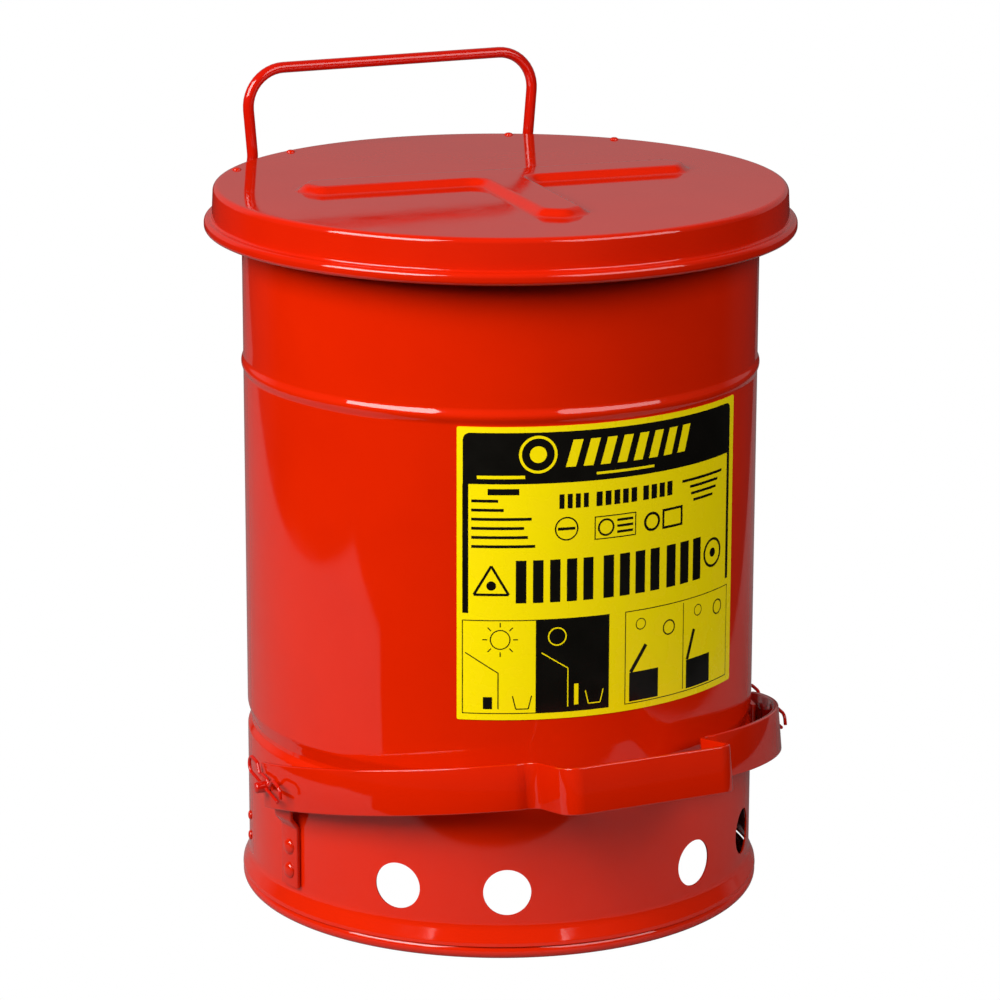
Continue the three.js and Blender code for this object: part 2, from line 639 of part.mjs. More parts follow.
// Stiffening strap under the back of the lid, in the ring between the rim and the skirt.
const strapSweep = LID_RIVET_ANGLES[1] + 5;
const strapInner = strapMiddle - LID_STRAP_WIDTH / 2;
const strapArc = 2 * THREE.MathUtils.degToRad(strapSweep) * strapInner;
const strapPlate = curvedPlate(strapInner, LID_STRAP_WIDTH, strapArc, 180, LID_STRAP_THICKNESS);
const strapHeight = LID_UNDERSIDE - CLEARANCE - LID_STRAP_THICKNESS;
let lidStrap = solid(strapPlate.translate(0, 0, strapHeight));
for (const point of lidRivetPoints) {
  lidStrap = lidStrap.subtract(solid(shankHole(point, new THREE.Vector3(0, 0, 1), SMALL_RIVET)));
}
add("lid_strap", geometryOf(lidStrap));
lidRivetPoints.forEach((point, i) => {
  const stack = SHEET + CLEARANCE + LID_STRAP_THICKNESS;
  addRivet(`lid_rivet_${i + 1}`, point, new THREE.Vector3(0, 0, 1), stack, SMALL_RIVET);
});

// ---------- hinge ----------
const hingeAxisPoint = new THREE.Vector3(0, HINGE_BACK, HINGE_HEIGHT);
const pinAlongX = (radius, width) => bar(hingeAxisPoint, new THREE.Vector3(1, 0, 0), radius, width, 24);

// Lid side: a leaf riveted to the skirt, a knuckle round the pin and a lug that the lift rod pushes.
const leafHalf = HINGE_LEAF_WIDTH / 2;
const leafOutside = LID_ROLL_RADIUS + CLEARANCE + 1;
const leafShape = outline([
  [leafFace, leafRivetHeight + LEAF_END_MARGIN],
  [leafFace, leafRivetHeight - LEAF_END_MARGIN],
  [leafOutside, LID_BOTTOM + LID_ROLL_HEIGHT + 0.5],
  [leafOutside, HINGE_HEIGHT + 1],
  [leafOutside + HINGE_LEAF_THICKNESS * 2.5, HINGE_HEIGHT + 1],
  [leafOutside + HINGE_LEAF_THICKNESS, LID_BOTTOM + LID_ROLL_HEIGHT + 1],
  [leafFace + HINGE_LEAF_THICKNESS, leafRivetHeight - LEAF_END_MARGIN + 0.5],
  [leafFace + HINGE_LEAF_THICKNESS, leafRivetHeight + LEAF_END_MARGIN],
]);
const lugUnderside = HINGE_HEIGHT - LUG_DROP;
const lugTip = LIFT_ROD_BACK - LUG_TIP_PAST_ROD;
const lugShape = outline([
  [lugTip, lugUnderside],
  [LIFT_ROD_BACK + 7, lugUnderside],
  [HINGE_BACK + 2, HINGE_HEIGHT - 5.5],
  [HINGE_BACK - 5.5, HINGE_HEIGHT + 1],
  [LIFT_ROD_BACK + 5, lugUnderside + LUG_THICKNESS],
  [lugTip, lugUnderside + LUG_THICKNESS],
]);
let leaf = solid(sideSlab(leafShape, -leafHalf, leafHalf));
leaf = leaf.add(solid(sideSlab(lugShape, -leafHalf * 0.6, leafHalf * 0.6)));
leaf = leaf.add(solid(pinAlongX(HINGE_EYE_RADIUS - 0.5, HINGE_LEAF_WIDTH)));
leaf = leaf.subtract(solid(pinAlongX(PIN_BORE, HINGE_LEAF_WIDTH + 4)));
for (const [, x] of leafRivetSpots) {
  const spot = new THREE.Vector3(x, leafFace, leafRivetHeight);
  leaf = leaf.subtract(solid(shankHole(spot, OUT_BACK, SMALL_RIVET)));
}
add("hinge_leaf", geometryOf(leaf));
for (const [side, x] of leafRivetSpots) {
  const face = new THREE.Vector3(x, leafFace + HINGE_LEAF_THICKNESS, leafRivetHeight);
  addRivet(`leaf_rivet_${side}`, face, OUT_BACK, HINGE_LEAF_THICKNESS + LID_FLARE + 1 + SHEET, SMALL_RIVET);
}

// Can side: a folded bracket with a back plate and two ears that carry the pin.
const earInside = leafHalf + HINGE_EAR_GAP;
const earOutside = earInside + HINGE_EAR_THICKNESS;
const earShape = outline([
  [guideBase, bracketPlateBottom],
  [guideBase + 6, bracketPlateBottom],
  [HINGE_BACK + HINGE_EYE_RADIUS * 0.8, HINGE_HEIGHT - HINGE_EYE_RADIUS * 0.6],
  [HINGE_BACK - HINGE_EYE_RADIUS * 0.5, HINGE_HEIGHT + HINGE_EYE_RADIUS * 0.85],
  [guideBase, bracketPlateTop + 8],
]);
let hingeBracket = solid(block(
  [-earOutside, guideBase, bracketPlateBottom],
  [earOutside, guideBase + HINGE_PLATE_THICKNESS, bracketPlateTop],
));
for (const [, sign] of SIDES) {
  const near = Math.min(sign * earInside, sign * earOutside);
  const far = Math.max(sign * earInside, sign * earOutside);
  hingeBracket = hingeBracket.add(solid(sideSlab(earShape, near, far)));
  const eyeCentre = new THREE.Vector3((near + far) / 2, HINGE_BACK, HINGE_HEIGHT);
  hingeBracket = hingeBracket.add(solid(bar(
    eyeCentre,
    new THREE.Vector3(1, 0, 0),
    HINGE_EYE_RADIUS,
    HINGE_EAR_THICKNESS,
    24,
  )));
}
hingeBracket = hingeBracket.subtract(solid(pinAlongX(PIN_BORE, 2 * earOutside + 4)));
for (const z of bracketRivetHeights) {
  hingeBracket = hingeBracket.subtract(solid(shankHole(new THREE.Vector3(0, BODY_RADIUS, z), OUT_BACK)));
}
add("hinge_bracket", geometryOf(hingeBracket));
bracketRivetHeights.forEach((z, i) => {
  const face = new THREE.Vector3(0, guideBase + HINGE_PLATE_THICKNESS, z);
  addRivet(`hinge_rivet_${i + 1}`, face, OUT_BACK, HINGE_PLATE_THICKNESS + CLEARANCE + SHEET, 0.9);
});

// One bent rod is both the hinge pin and the carrying handle that stands behind the lid.
const handleBack = BODY_RADIUS + HANDLE_SETBACK;
const handleTop = LID_TOP + HANDLE_RISE;
const handleFootHeight = LID_TOP - 6;
add("carry_handle", bentRod([
  corner(0.5, HINGE_BACK, HINGE_HEIGHT),
  corner(HANDLE_FOOT_HALF_WIDTH, HINGE_BACK, HINGE_HEIGHT, 8),
  corner(HANDLE_FOOT_HALF_WIDTH, handleBack, handleFootHeight, 12),
  corner(HANDLE_HALF_WIDTH, handleBack, handleTop, HANDLE_CORNER),
  corner(-HANDLE_HALF_WIDTH, handleBack, handleTop, HANDLE_CORNER),
  corner(-HANDLE_FOOT_HALF_WIDTH, handleBack, handleFootHeight, 12),
  corner(-HANDLE_FOOT_HALF_WIDTH, HINGE_BACK, HINGE_HEIGHT, 8),
  corner(-0.5, HINGE_BACK, HINGE_HEIGHT),
], ROD_RADIUS));

// ---------- foot lever and yoke ----------
const lever = new THREE.Group();
lever.position.set(0, PIVOT_BACK, PIVOT_HEIGHT);
lever.rotation.x = -THREE.MathUtils.degToRad(LEVER_TILT);
can.add(lever);

/** Plan outline of the strap, offset from its middle line by half its thickness either way. */
function leverPlan() {
  const stations = [];
  const arcBack = LEVER_ARC_BACK - PIVOT_BACK;
  const toeFront = -(TOE_REACH + PIVOT_BACK) + LEVER_THICKNESS / 2;
  const rootAngle = Math.asin(TOE_HALF_WIDTH / LEVER_ARC_RADIUS);
  const rootFront = arcBack - LEVER_ARC_RADIUS * Math.cos(rootAngle);
  stations.push([-LEVER_PIVOT_SIDE, LEVER_TAIL]);
  const startAngle = Math.PI / 2;
  for (let i = 0; i <= 20; i += 1) {
    const turn = -startAngle + ((startAngle - rootAngle * 1.2) * i) / 20;
    const x = LEVER_ARC_RADIUS * Math.sin(turn);
    const y = arcBack - LEVER_ARC_RADIUS * Math.cos(turn);
    if (y < 0) stations.push([x, y]);
  }
  const bend = (cx, cy, radius, from, to) => {
    for (let i = 0; i <= 4; i += 1) {
      const turn = from + ((to - from) * i) / 4;
      stations.push([cx + radius * Math.cos(turn), cy + radius * Math.sin(turn)]);
    }
  };
  const root = rootFront - 3;
  bend(-TOE_HALF_WIDTH - LEVER_ROOT_CORNER, root - 2, LEVER_ROOT_CORNER, Math.PI * 0.42, 0);
  bend(-TOE_HALF_WIDTH + TOE_CORNER, toeFront + TOE_CORNER, TOE_CORNER, Math.PI, Math.PI * 1.5);
  const mirrored = stations.map(([x, y]) => [-x, y]).reverse();
  return [...stations, ...mirrored];
}

function strip(middle, thickness) {
  const near = [];
  const far = [];
  middle.forEach(([x, y], i) => {
    const [ax, ay] = middle[Math.max(i - 1, 0)];
    const [bx, by] = middle[Math.min(i + 1, middle.length - 1)];
    const length = Math.hypot(bx - ax, by - ay);
    const nx = (-(by - ay) / length) * (thickness / 2);
    const ny = ((bx - ax) / length) * (thickness / 2);
    near.push([x + nx, y + ny]);
    far.push([x - nx, y - ny]);
  });
  return outline([...near, ...far.reverse()]);
}

const leverSlab = slab(strip(leverPlan(), LEVER_THICKNESS), LEVER_TALL);
const leverStrap = closed(leverSlab.translate(0, 0, -LEVER_TALL / 2));
const leverBore = bar(new THREE.Vector3(0, 0, 0), new THREE.Vector3(1, 0, 0), PIN_BORE, 2 * PIN_END, 24);
add("foot_lever", geometryOf(solid(leverStrap).subtract(solid(leverBore))), RED, lever);

// The yoke: both pins and the fork under the raised bottom are one bent rod.
const noseBack = LIFT_ROD_BACK + YOKE_NOSE_HALF;
const yokeKnee = BODY_RADIUS - YOKE_KNEE_INSIDE;
const clipOffset = LEVER_PIVOT_SIDE + LEVER_THICKNESS / 2 + CLEARANCE + CLIP_WIRE / 2 + CLIP_STANDOFF;
const clipTurn = THREE.MathUtils.degToRad(CLIP_TURN);
const clipAlong = new THREE.Vector3(0, Math.cos(clipTurn), Math.sin(clipTurn));
const clipAcross = new THREE.Vector3(0, -Math.sin(clipTurn), Math.cos(clipTurn));
const noseBend = YOKE_NOSE_HALF - 0.1;
const noseCorner = (sign) => corner(sign * YOKE_NOSE_HALF, noseBack, yokeHeightAt(noseBack), noseBend);
let yoke = solid(bentRod([
  corner(-PIN_END, PIVOT_BACK, PIVOT_HEIGHT),
  corner(-YOKE_SIDE, PIVOT_BACK, PIVOT_HEIGHT, YOKE_SIDE_BEND),
  corner(-YOKE_NOSE_HALF, yokeKnee, yokeHeightAt(yokeKnee), YOKE_KNEE_BEND),
  noseCorner(-1),
  noseCorner(1),
  corner(YOKE_NOSE_HALF, yokeKnee, yokeHeightAt(yokeKnee), YOKE_KNEE_BEND),
  corner(YOKE_SIDE, PIVOT_BACK, PIVOT_HEIGHT, YOKE_SIDE_BEND),
  corner(PIN_END, PIVOT_BACK, PIVOT_HEIGHT),
], ROD_RADIUS));
for (const [, sign] of SIDES) {
  const hole = new THREE.Vector3(sign * clipOffset, PIVOT_BACK, PIVOT_HEIGHT);
  yoke = yoke.subtract(solid(bar(hole, clipAlong, CLIP_WIRE / 2 + CLEARANCE, 12, 12)));
}
add("yoke_rod", geometryOf(yoke));

for (const [side, sign] of SIDES) {
  const washer = turned([
    [PIN_BORE, -WASHER_THICKNESS / 2],
    [WASHER_RADIUS, -WASHER_THICKNESS / 2],
    [WASHER_RADIUS, WASHER_THICKNESS / 2],
    [PIN_BORE, WASHER_THICKNESS / 2],
  ], 24);
  const mesh = add(`washer_${side}`, washer);
  const gap = LEVER_THICKNESS / 2 + LEVER_CURVE_IN + CLEARANCE + WASHER_THICKNESS / 2;
  mesh.position.set(sign * (LEVER_PIVOT_SIDE - gap), PIVOT_BACK, PIVOT_HEIGHT);
  mesh.rotation.y = Math.PI / 2;
  // Bow-tie clip: a straight leg through the pin, and a springy leg that arches over it.
  const spot = (along, across, radius = 0) => {
    const point = new THREE.Vector3(sign * clipOffset, PIVOT_BACK, PIVOT_HEIGHT);
    point.addScaledVector(clipAlong, along * CLIP_SIZE);
    point.addScaledVector(clipAcross, across * CLIP_SIZE);
    return { point, radius: radius * CLIP_SIZE };
  };
  add(`clip_pin_${side}`, bentRod([
    spot(-16, 0),
    spot(18, 0, 3.6),
    spot(18, 7.6, 3.6),
    spot(9, 7.6, 3),
    spot(4.5, 2.5, 1.6),
    spot(3.5, 4.9, 1.5),
    spot(-3.5, 4.9, 1.5),
    spot(-5.5, 2.2, 1.6),
    spot(-9, 7.5, 3),
    spot(-17, 7.5, 3.4),
    spot(-19, 2.8),
  ], CLIP_WIRE / 2, 8, 3));
}

// ---------- lift rod and its guides ----------
const yokeRise = ROD_RADIUS / Math.cos(THREE.MathUtils.degToRad(YOKE_DROP_ANGLE));
const liftFootHeight = yokeHeightAt(LIFT_ROD_BACK) + yokeRise + YOKE_FOOT_GAP;
const liftFootRadius = LIFT_FOOT_DIAMETER / 2;
const liftFoot = new THREE.CylinderGeometry(liftFootRadius, liftFootRadius, LIFT_FOOT_THICKNESS, 24);
const footMesh = add("lift_foot", closed(liftFoot.rotateX(Math.PI / 2)));
footMesh.position.set(0, LIFT_ROD_BACK, liftFootHeight + LIFT_FOOT_THICKNESS / 2);
const liftRodBottom = liftFootHeight + LIFT_FOOT_THICKNESS + CLEARANCE;
add("lift_rod", turned([
  [0, liftRodBottom],
  [LIFT_ROD_RADIUS, liftRodBottom],
  [LIFT_ROD_RADIUS, LIFT_ROD_TOP - 1],
  [LIFT_ROD_RADIUS - 1, LIFT_ROD_TOP],
  [0, LIFT_ROD_TOP],
], 16)).position.y = LIFT_ROD_BACK;

function guideShape() {
  const inside = LIFT_ROD_RADIUS + GUIDE_BORE_CLEARANCE;
  const outside = inside + GUIDE_THICKNESS;
  const shape = new THREE.Shape();
  shape.moveTo(-GUIDE_HALF_WIDTH, guideBase);
  shape.lineTo(-inside, guideBase);
  shape.lineTo(-inside, LIFT_ROD_BACK);
  shape.absarc(0, LIFT_ROD_BACK, inside, Math.PI, 0, true);
  shape.lineTo(inside, guideBase);
  shape.lineTo(GUIDE_HALF_WIDTH, guideBase);
  shape.lineTo(GUIDE_HALF_WIDTH, guideBase + GUIDE_THICKNESS);
  shape.lineTo(outside, guideBase + GUIDE_THICKNESS);
  shape.lineTo(outside, LIFT_ROD_BACK);
  shape.absarc(0, LIFT_ROD_BACK, outside, 0, Math.PI, false);
  shape.lineTo(-outside, guideBase + GUIDE_THICKNESS);
  shape.lineTo(-GUIDE_HALF_WIDTH, guideBase + GUIDE_THICKNESS);
  return shape;
}

GUIDE_HEIGHTS.forEach((height, i) => {
  let guide = solid(slab(guideShape(), GUIDE_TALL, 8).translate(0, 0, height - GUIDE_TALL / 2));
  for (const spot of guideRivetSpots.filter((entry) => entry.height === height)) {
    const hole = new THREE.Vector3(spot.x, BODY_RADIUS, height);
    guide = guide.subtract(solid(shankHole(hole, OUT_BACK, SMALL_RIVET)));
    const face = new THREE.Vector3(spot.x, guideBase + GUIDE_THICKNESS, height);
    addRivet(`guide_rivet_${i + 1}_${spot.side}`, face, OUT_BACK, GUIDE_THICKNESS + 2 + SHEET, SMALL_RIVET);
  }
  add(`rod_guide_${i + 1}`, geometryOf(guide));
});

// The origin lies under the middle of the whole outline, so the can's axis stands a little behind it.
const reach = new THREE.Box3().setFromObject(can, true);
can.position.y = -(reach.min.y + reach.max.y) / 2;
const part = new THREE.Group();
part.add(can);

export default part;
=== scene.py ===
"""Finishes a foot-operated oily-waste can: red enamelled steel, with a self-closing lid and a foot lever.

Sizes in the classes are in millimetres from the can's own axis, and turn to metres when a mesh is made.
The frame has +Z up, the floor at z = 0 and the foot lever towards -Y. Its origin is a little in front of
the can's axis, so each piece is moved back by CAN_AXIS as it is fitted. Angles round the can start at the
front and turn towards +X.
"""
import logging
import math
from collections.abc import Sequence
from dataclasses import dataclass
from enum import Enum
from typing import Any

import bmesh
import bpy
import numpy as np
from mathutils import Matrix, Vector


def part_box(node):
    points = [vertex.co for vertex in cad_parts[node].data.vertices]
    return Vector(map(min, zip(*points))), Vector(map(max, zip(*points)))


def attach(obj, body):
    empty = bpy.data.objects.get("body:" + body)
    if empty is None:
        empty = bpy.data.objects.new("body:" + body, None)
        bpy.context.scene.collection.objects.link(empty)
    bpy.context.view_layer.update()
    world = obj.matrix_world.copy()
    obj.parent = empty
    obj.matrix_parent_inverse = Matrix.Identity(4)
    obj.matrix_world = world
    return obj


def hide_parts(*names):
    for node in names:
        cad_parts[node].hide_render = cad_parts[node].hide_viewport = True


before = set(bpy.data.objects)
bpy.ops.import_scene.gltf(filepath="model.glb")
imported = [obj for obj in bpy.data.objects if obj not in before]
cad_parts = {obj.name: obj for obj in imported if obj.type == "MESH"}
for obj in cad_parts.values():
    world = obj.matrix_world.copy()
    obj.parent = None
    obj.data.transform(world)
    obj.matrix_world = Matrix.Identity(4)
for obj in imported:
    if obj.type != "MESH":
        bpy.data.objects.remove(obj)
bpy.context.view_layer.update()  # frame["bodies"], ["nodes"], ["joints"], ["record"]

LOG = logging.getLogger("oily_waste_can")
MM = 0.001
RING_LOW, RING_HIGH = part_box("foot_ring")
CAN_AXIS = Vector((0.0, (RING_LOW[1] + RING_HIGH[1]) / 2, 0.0))

Point = tuple[float, float]
Spot = tuple[Vector, Vector, float]  # place in mm, outward direction, and size
BODY_RADIUS = 145.0
PIVOT_BACK, PIVOT_HEIGHT = -30.0, 82.0  # the pedal's pivot pins
UP, BACK = Vector((0, 0, 1)), Vector((0, 1, 0))


class Body(Enum):
    """The bodies that pieces ride on."""

    CAN = "can"
    LID = "lid"
    HANDLE = "handle"
    PEDAL = "pedal"
    LIFT = "lift"


class Side(Enum):
    """The two sides of the can, by the sign of X."""

    LEFT = -1
    RIGHT = 1

    @property
    def word(self) -> str:
        """The side's name in piece names."""
        return self.name.lower()


@dataclass(frozen=True)
class Corner:
    """A corner of a bent path or profile.

    Args:
        at: The sharp corner's place in mm, with two or three coordinates.
        bend: Bend radius in mm, 0 for a sharp corner.
    """

    at: tuple[float, ...]
    bend: float = 0.0

    @property
    def place(self) -> Vector:
        """The corner as a 3-D vector."""
        return Vector((*self.at, 0.0)[:3])


def bent(corners: Sequence[Corner], steps: int = 8) -> list[Vector]:
    """Runs a line through corners and rounds each one.

    Args:
        corners: The corners from one end to the other.
        steps: Short chords in each bend.

    Returns:
        Points along the line, in mm.
    """
    line = [corners[0].place]
    for before, here, after in zip(corners, corners[1:], corners[2:]):
        if here.bend <= 0:
            line.append(here.place)
            continue
        back = (before.place - here.place).normalized()
        onward = (after.place - here.place).normalized()
        half = back.angle(onward) / 2
        setback = here.bend / math.tan(half)
        centre = here.place + (back + onward).normalized() * (here.bend / math.sin(half))
        spoke = here.place + back * setback - centre
        axis = spoke.cross(here.place + onward * setback - centre).normalized()
        for step in range(steps + 1):
            turn = Matrix.Rotation((math.pi - 2 * half) * step / steps, 3, axis)
            line.append(turn @ spoke + centre)
    line.append(corners[-1].place)
    return line


def round_the_can(angle: float, radius: float, height: float) -> Vector:
    """Returns the point at an angle from the front in degrees, a radius and a height, in mm."""
    turn = math.radians(angle)
    return Vector((radius * math.sin(turn), -radius * math.cos(turn), height))


def linear(colour: str) -> tuple[float, float, float, float]:
    """Turns an sRGB hex colour such as "#d01c08" into linear RGBA."""
    channels = [int(colour[i : i + 2], 16) / 255 for i in (1, 3, 5)]
    red, green, blue = (c / 12.92 if c <= 0.04045 else ((c + 0.055) / 1.055) ** 2.4 for c in channels)
    return red, green, blue, 1.0


def add_node(tree: bpy.types.NodeTree, kind: str, inputs: dict[int | str, Any] | None = None,
        **settings: Any) -> bpy.types.Node:
    """Adds a node with its settings and links.

    Args:
        tree: The tree that gets the node.
        kind: Blender's name for the node type.
        inputs: A socket to link from, or a value to set, for each named or numbered input.
        settings: Properties of the node itself.

    Returns:
        The new node.
    """
    node = tree.nodes.new(kind)
    for name, value in settings.items():
        setattr(node, name, value)
    for key, value in (inputs or {}).items():
        if isinstance(value, bpy.types.NodeSocket):
            tree.links.new(value, node.inputs[key])
        else:
            node.inputs[key].default_value = value
    return node


def cleared(owner: bpy.types.Material | bpy.types.World) -> bpy.types.NodeTree:
    """Turns nodes on for a material or the world and returns its emptied tree."""
    owner.use_nodes = True
    owner.node_tree.nodes.clear()
    return owner.node_tree


# ---------- finishes ----------
@dataclass(frozen=True)
class Coat:
    """A thin glossy coat: a colour that drifts a little, patches of duller shine and a slightly uneven skin.

    Args:
        name: Name of the material.
        colour: Main colour.
        second: Colour that it drifts towards.
        gloss: Lowest roughness.
        haze: How much roughness the duller patches add.
        drift: Width in mm and detail of the changes of colour.
        patches: Width in mm and detail of the duller patches.
        span: Pattern values from which and up to which a patch grows dull.
        relief: Width and depth in mm of each layer of unevenness, the widest first.
        ior: Refractive index.
    """

    name: str
    colour: str
    second: str
    gloss: float
    haze: float
    drift: Point
    patches: Point
    span: Point
    relief: tuple[Point, ...]
    ior: float

    def make(self) -> bpy.types.Material:
        """Builds the material."""
        material = bpy.data.materials.new(self.name)
        tree = cleared(material)
        place = add_node(tree, "ShaderNodeTexCoord").outputs["Object"]
        shade, dull = (
            add_node(
                tree, "ShaderNodeTexNoise", {"Vector": place, "Scale": 1 / (width * MM), "Detail": detail}
            )
            for width, detail in (self.drift, self.patches)
        )
        ends = {6: linear(self.colour), 7: linear(self.second)}
        colour = add_node(tree, "ShaderNodeMix", {"Factor": shade.outputs["Fac"], **ends}, data_type="RGBA")
        low, high = self.span
        shine = {1: low, 2: high, 3: self.gloss, 4: self.gloss + self.haze}
        rough = add_node(tree, "ShaderNodeMapRange", {"Value": dull.outputs["Fac"], **shine})
        skin: dict[int | str, Any] = {}
        for width, depth in self.relief:
            bumps = {"Vector": place, "Scale": 1 / (width * MM), "Detail": 1.0}
            height = add_node(tree, "ShaderNodeTexNoise", bumps).outputs["Fac"]
            layer = {"Height": height, "Distance": depth * MM, "Strength": 1.0, **skin}
            skin = {"Normal": add_node(tree, "ShaderNodeBump", layer).outputs["Normal"]}
        look = {"Base Color": colour.outputs[2], "Roughness": rough.outputs["Result"], "IOR": self.ior,
            **skin}
        shader = add_node(tree, "ShaderNodeBsdfPrincipled", look)
        add_node(tree, "ShaderNodeOutputMaterial", {"Surface": shader.outputs[0]})
        return material


@dataclass(frozen=True)
class Enamel(Coat):
    """Baked gloss enamel sprayed on steel: deep red under a clear wet shine that wavers like orange peel."""

    colour: str = "#dc2300"
    second: str = "#d11e00"
    gloss: float = 0.05
    haze: float = 0.05
    # Spray passes leave slow changes of shade about 45 mm wide, handling duller patches about 18 mm wide.
    drift: Point = (45.0, 3.0)
    patches: Point = (18.0, 4.0)
    span: Point = (0.35, 0.75)
    # The sheet's own slow waves come first, and then the orange peel.
    relief: tuple[Point, ...] = ((60.0, 0.08), (1.7, 0.005))
    ior: float = 1.52


@dataclass(frozen=True)
class Vinyl(Coat):
    """Printed vinyl film: an even colour with a soft gloss, a faint mottle and the sheet's slight stipple."""

    gloss: float = 0.24
    haze: float = 0.08
    # Ink density drifts over about 14 mm, and the shine with it.
    drift: Point = (14.0, 5.0)
    patches: Point = (14.0, 5.0)
    span: Point = (0.3, 0.8)
    # The film's stipple is finer than 1 mm, and is drawn 1.6 mm wide so that it shows.
    relief: tuple[Point, ...] = ((1.6, 0.003),)
    ior: float = 1.49


@dataclass(frozen=True)
class Finishes:
    """The materials that the sub-assemblies share.

    Args:
        sheet: Enamel on the can's drawn and rolled sheet.
        lid: Enamel on the pressed lid.
        rod: Thicker enamel on bent rod and wire.
        forged: Enamel on brackets, lever and rivets.
        yellow: Label film in yellow.
        black: Label ink in black.
    """

    sheet: bpy.types.Material
    lid: bpy.types.Material
    rod: bpy.types.Material
    forged: bpy.types.Material
    yellow: bpy.types.Material
    black: bpy.types.Material

    @classmethod
    def mixed(cls) -> "Finishes":
        """Makes every finish once."""
        coats = (
            Enamel("baked_enamel_on_sheet_steel"),
            Enamel("baked_enamel_on_pressed_lid", "#d31f02", "#c91a02", relief=((80.0, 0.16), (1.7, 0.005))),
            Enamel("baked_enamel_on_bent_rod", "#cf1604", "#bd1204", relief=((25.0, 0.02), (2.4, 0.006))),
            Enamel("baked_enamel_on_strap_steel", "#d31f00", "#c41b00", relief=((30.0, 0.03), (2.0, 0.005))),
            Vinyl("printed_vinyl_yellow", "#ffe900", "#ffe304"),
            Vinyl("printed_vinyl_black", "#0a0907", "#12100c", gloss=0.2),
        )
        return cls(*(coat.make() for coat in coats))


# ---------- workshop: meshes and node trees ----------
def show(name: str, mesh: bpy.types.Mesh) -> bpy.types.Object:
    """Puts a mesh in the scene as a new object at the origin."""
    mesh.name = name
    piece = bpy.data.objects.new(name, mesh)
    bpy.context.scene.collection.objects.link(piece)
    return piece


def set_hard(name: str, source: bpy.types.Object) -> bpy.types.Object:
    """Keeps an object's finished shape as a plain mesh in a new piece, and removes the object.

    Args:
        name: Name of the new piece.
        source: The object, whose modifiers are applied.

    Returns:
        The new piece.
    """
    graph = bpy.context.evaluated_depsgraph_get()
    mesh = bpy.data.meshes.new_from_object(source.evaluated_get(graph), depsgraph=graph)
    bpy.data.objects.remove(source)
    return show(name, mesh)


def smooth(mesh: bpy.types.Mesh, crease: float = 38.0, outward: bool = True) -> None:
    """Smooths a mesh's shading but keeps edges sharper than `crease` degrees.

    Args:
        mesh: The mesh to shade.
        crease: Smallest angle in degrees that stays a sharp edge.
        outward: Whether to turn all faces outwards first.
    """
    if outward:
        work = bmesh.new()
        work.from_mesh(mesh)
        bmesh.ops.recalc_face_normals(work, faces=work.faces)
        work.to_mesh(mesh)
        work.free()
    mesh.polygons.foreach_set("use_smooth", [True] * len(mesh.polygons))
    mesh.set_sharp_from_angle(angle=math.radians(crease))


def fit(piece: bpy.types.Object, body: Body, finish: bpy.types.Material, stands_for: Sequence[str] = ()) -> bpy.types.Object:
    """Gives a piece its finish and fixes it to its body.

    Args:
        piece: The finished mesh object.
        body: The body it moves with.
        finish: Its material.
        stands_for: Plain solids that it is shown in place of.

    Returns:
        The same piece.
    """
    piece.data.transform(Matrix.Translation(CAN_AXIS))
    piece.data.materials.clear()
    piece.data.materials.append(finish)
    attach(piece, body.value)
    if stands_for:
        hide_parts(*stands_for)
    LOG.info("%s: %d faces on %s", piece.name, len(piece.data.polygons), body.value)
    return piece


def turned(name: str, profile: Sequence[Point], segments: int = 400,
        crease: float = 38.0) -> bpy.types.Object:
    """Spins a closed profile round the can's axis.

    Args:
        name: Name of the piece.
        profile: (radius, height) points in mm. A radius of 0 closes to a pole.
        segments: Steps in a whole turn.
        crease: Smallest angle in degrees that stays a sharp edge.

    Returns:
        The turned piece.
    """
    turn = np.linspace(0, 2 * math.pi, segments, endpoint=False)
    places: list[np.ndarray] = []
    rows: list[list[int]] = []
    for radius, height in profile:
        start = sum(len(block) for block in places)
        if radius < 1e-6:
            places.append(np.array([[0.0, 0.0, height]]))
            rows.append([start] * segments)
        else:
            places.append(np.stack([radius * np.sin(turn), -radius * np.cos(turn),
                np.full(segments, height)], axis=1))
            rows.append(list(range(start, start + segments)))
    faces = []
    for below, above in zip(rows, rows[1:] + rows[:1]):
        for i in range(segments):
            j = (i + 1) % segments
            loop = list(dict.fromkeys((below[i], below[j], above[j], above[i])))
            if len(loop) > 2:
                faces.append(loop)
    mesh = bpy.data.meshes.new(name)
    mesh.from_pydata((np.concatenate(places) * MM).tolist(), [], faces)
    mesh.validate()
    smooth(mesh, crease)
    return show(name, mesh)


def wire(name: str, line: Sequence[Vector], cyclic: bool = False,
        eased_ends: float = 0.0) -> bpy.types.Object:
    """Makes the bare line that a rod or strap follows.

    Args:
        name: Name of the object.
        line: Points in mm.
        cyclic: Whether the line closes on itself.
        eased_ends: Length in mm over which each cut end is rounded off, 0 for a square end.

    Returns:
        A mesh of edges with a "swell" number at each point.
    """
    points = list(line)
    swell = [1.0] * len(points)
    if eased_ends > 0:
        first = (points[1] - points[0]).normalized()
        last = (points[-2] - points[-1]).normalized()
        shares = ((0.0, 0.72), (0.3, 0.9), (1.0, 1.0))
        head = [(points[0] + first * eased_ends * along, size) for along, size in shares]
        tail = [(points[-1] + last * eased_ends * along, size) for along, size in reversed(shares)]
        middle = [(point, 1.0) for point in points[1:-1]]
        points, swell = map(list, zip(*(head + middle + tail)))
    edges = [(i, i + 1) for i in range(len(points) - 1)]
    if cyclic:
        edges.append((len(points) - 1, 0))
    mesh = bpy.data.meshes.new(name)
    mesh.from_pydata([point * MM for point in points], edges, [])
    mesh.attributes.new("swell", "FLOAT", "POINT").data.foreach_set("value", swell)
    return show(name, mesh)


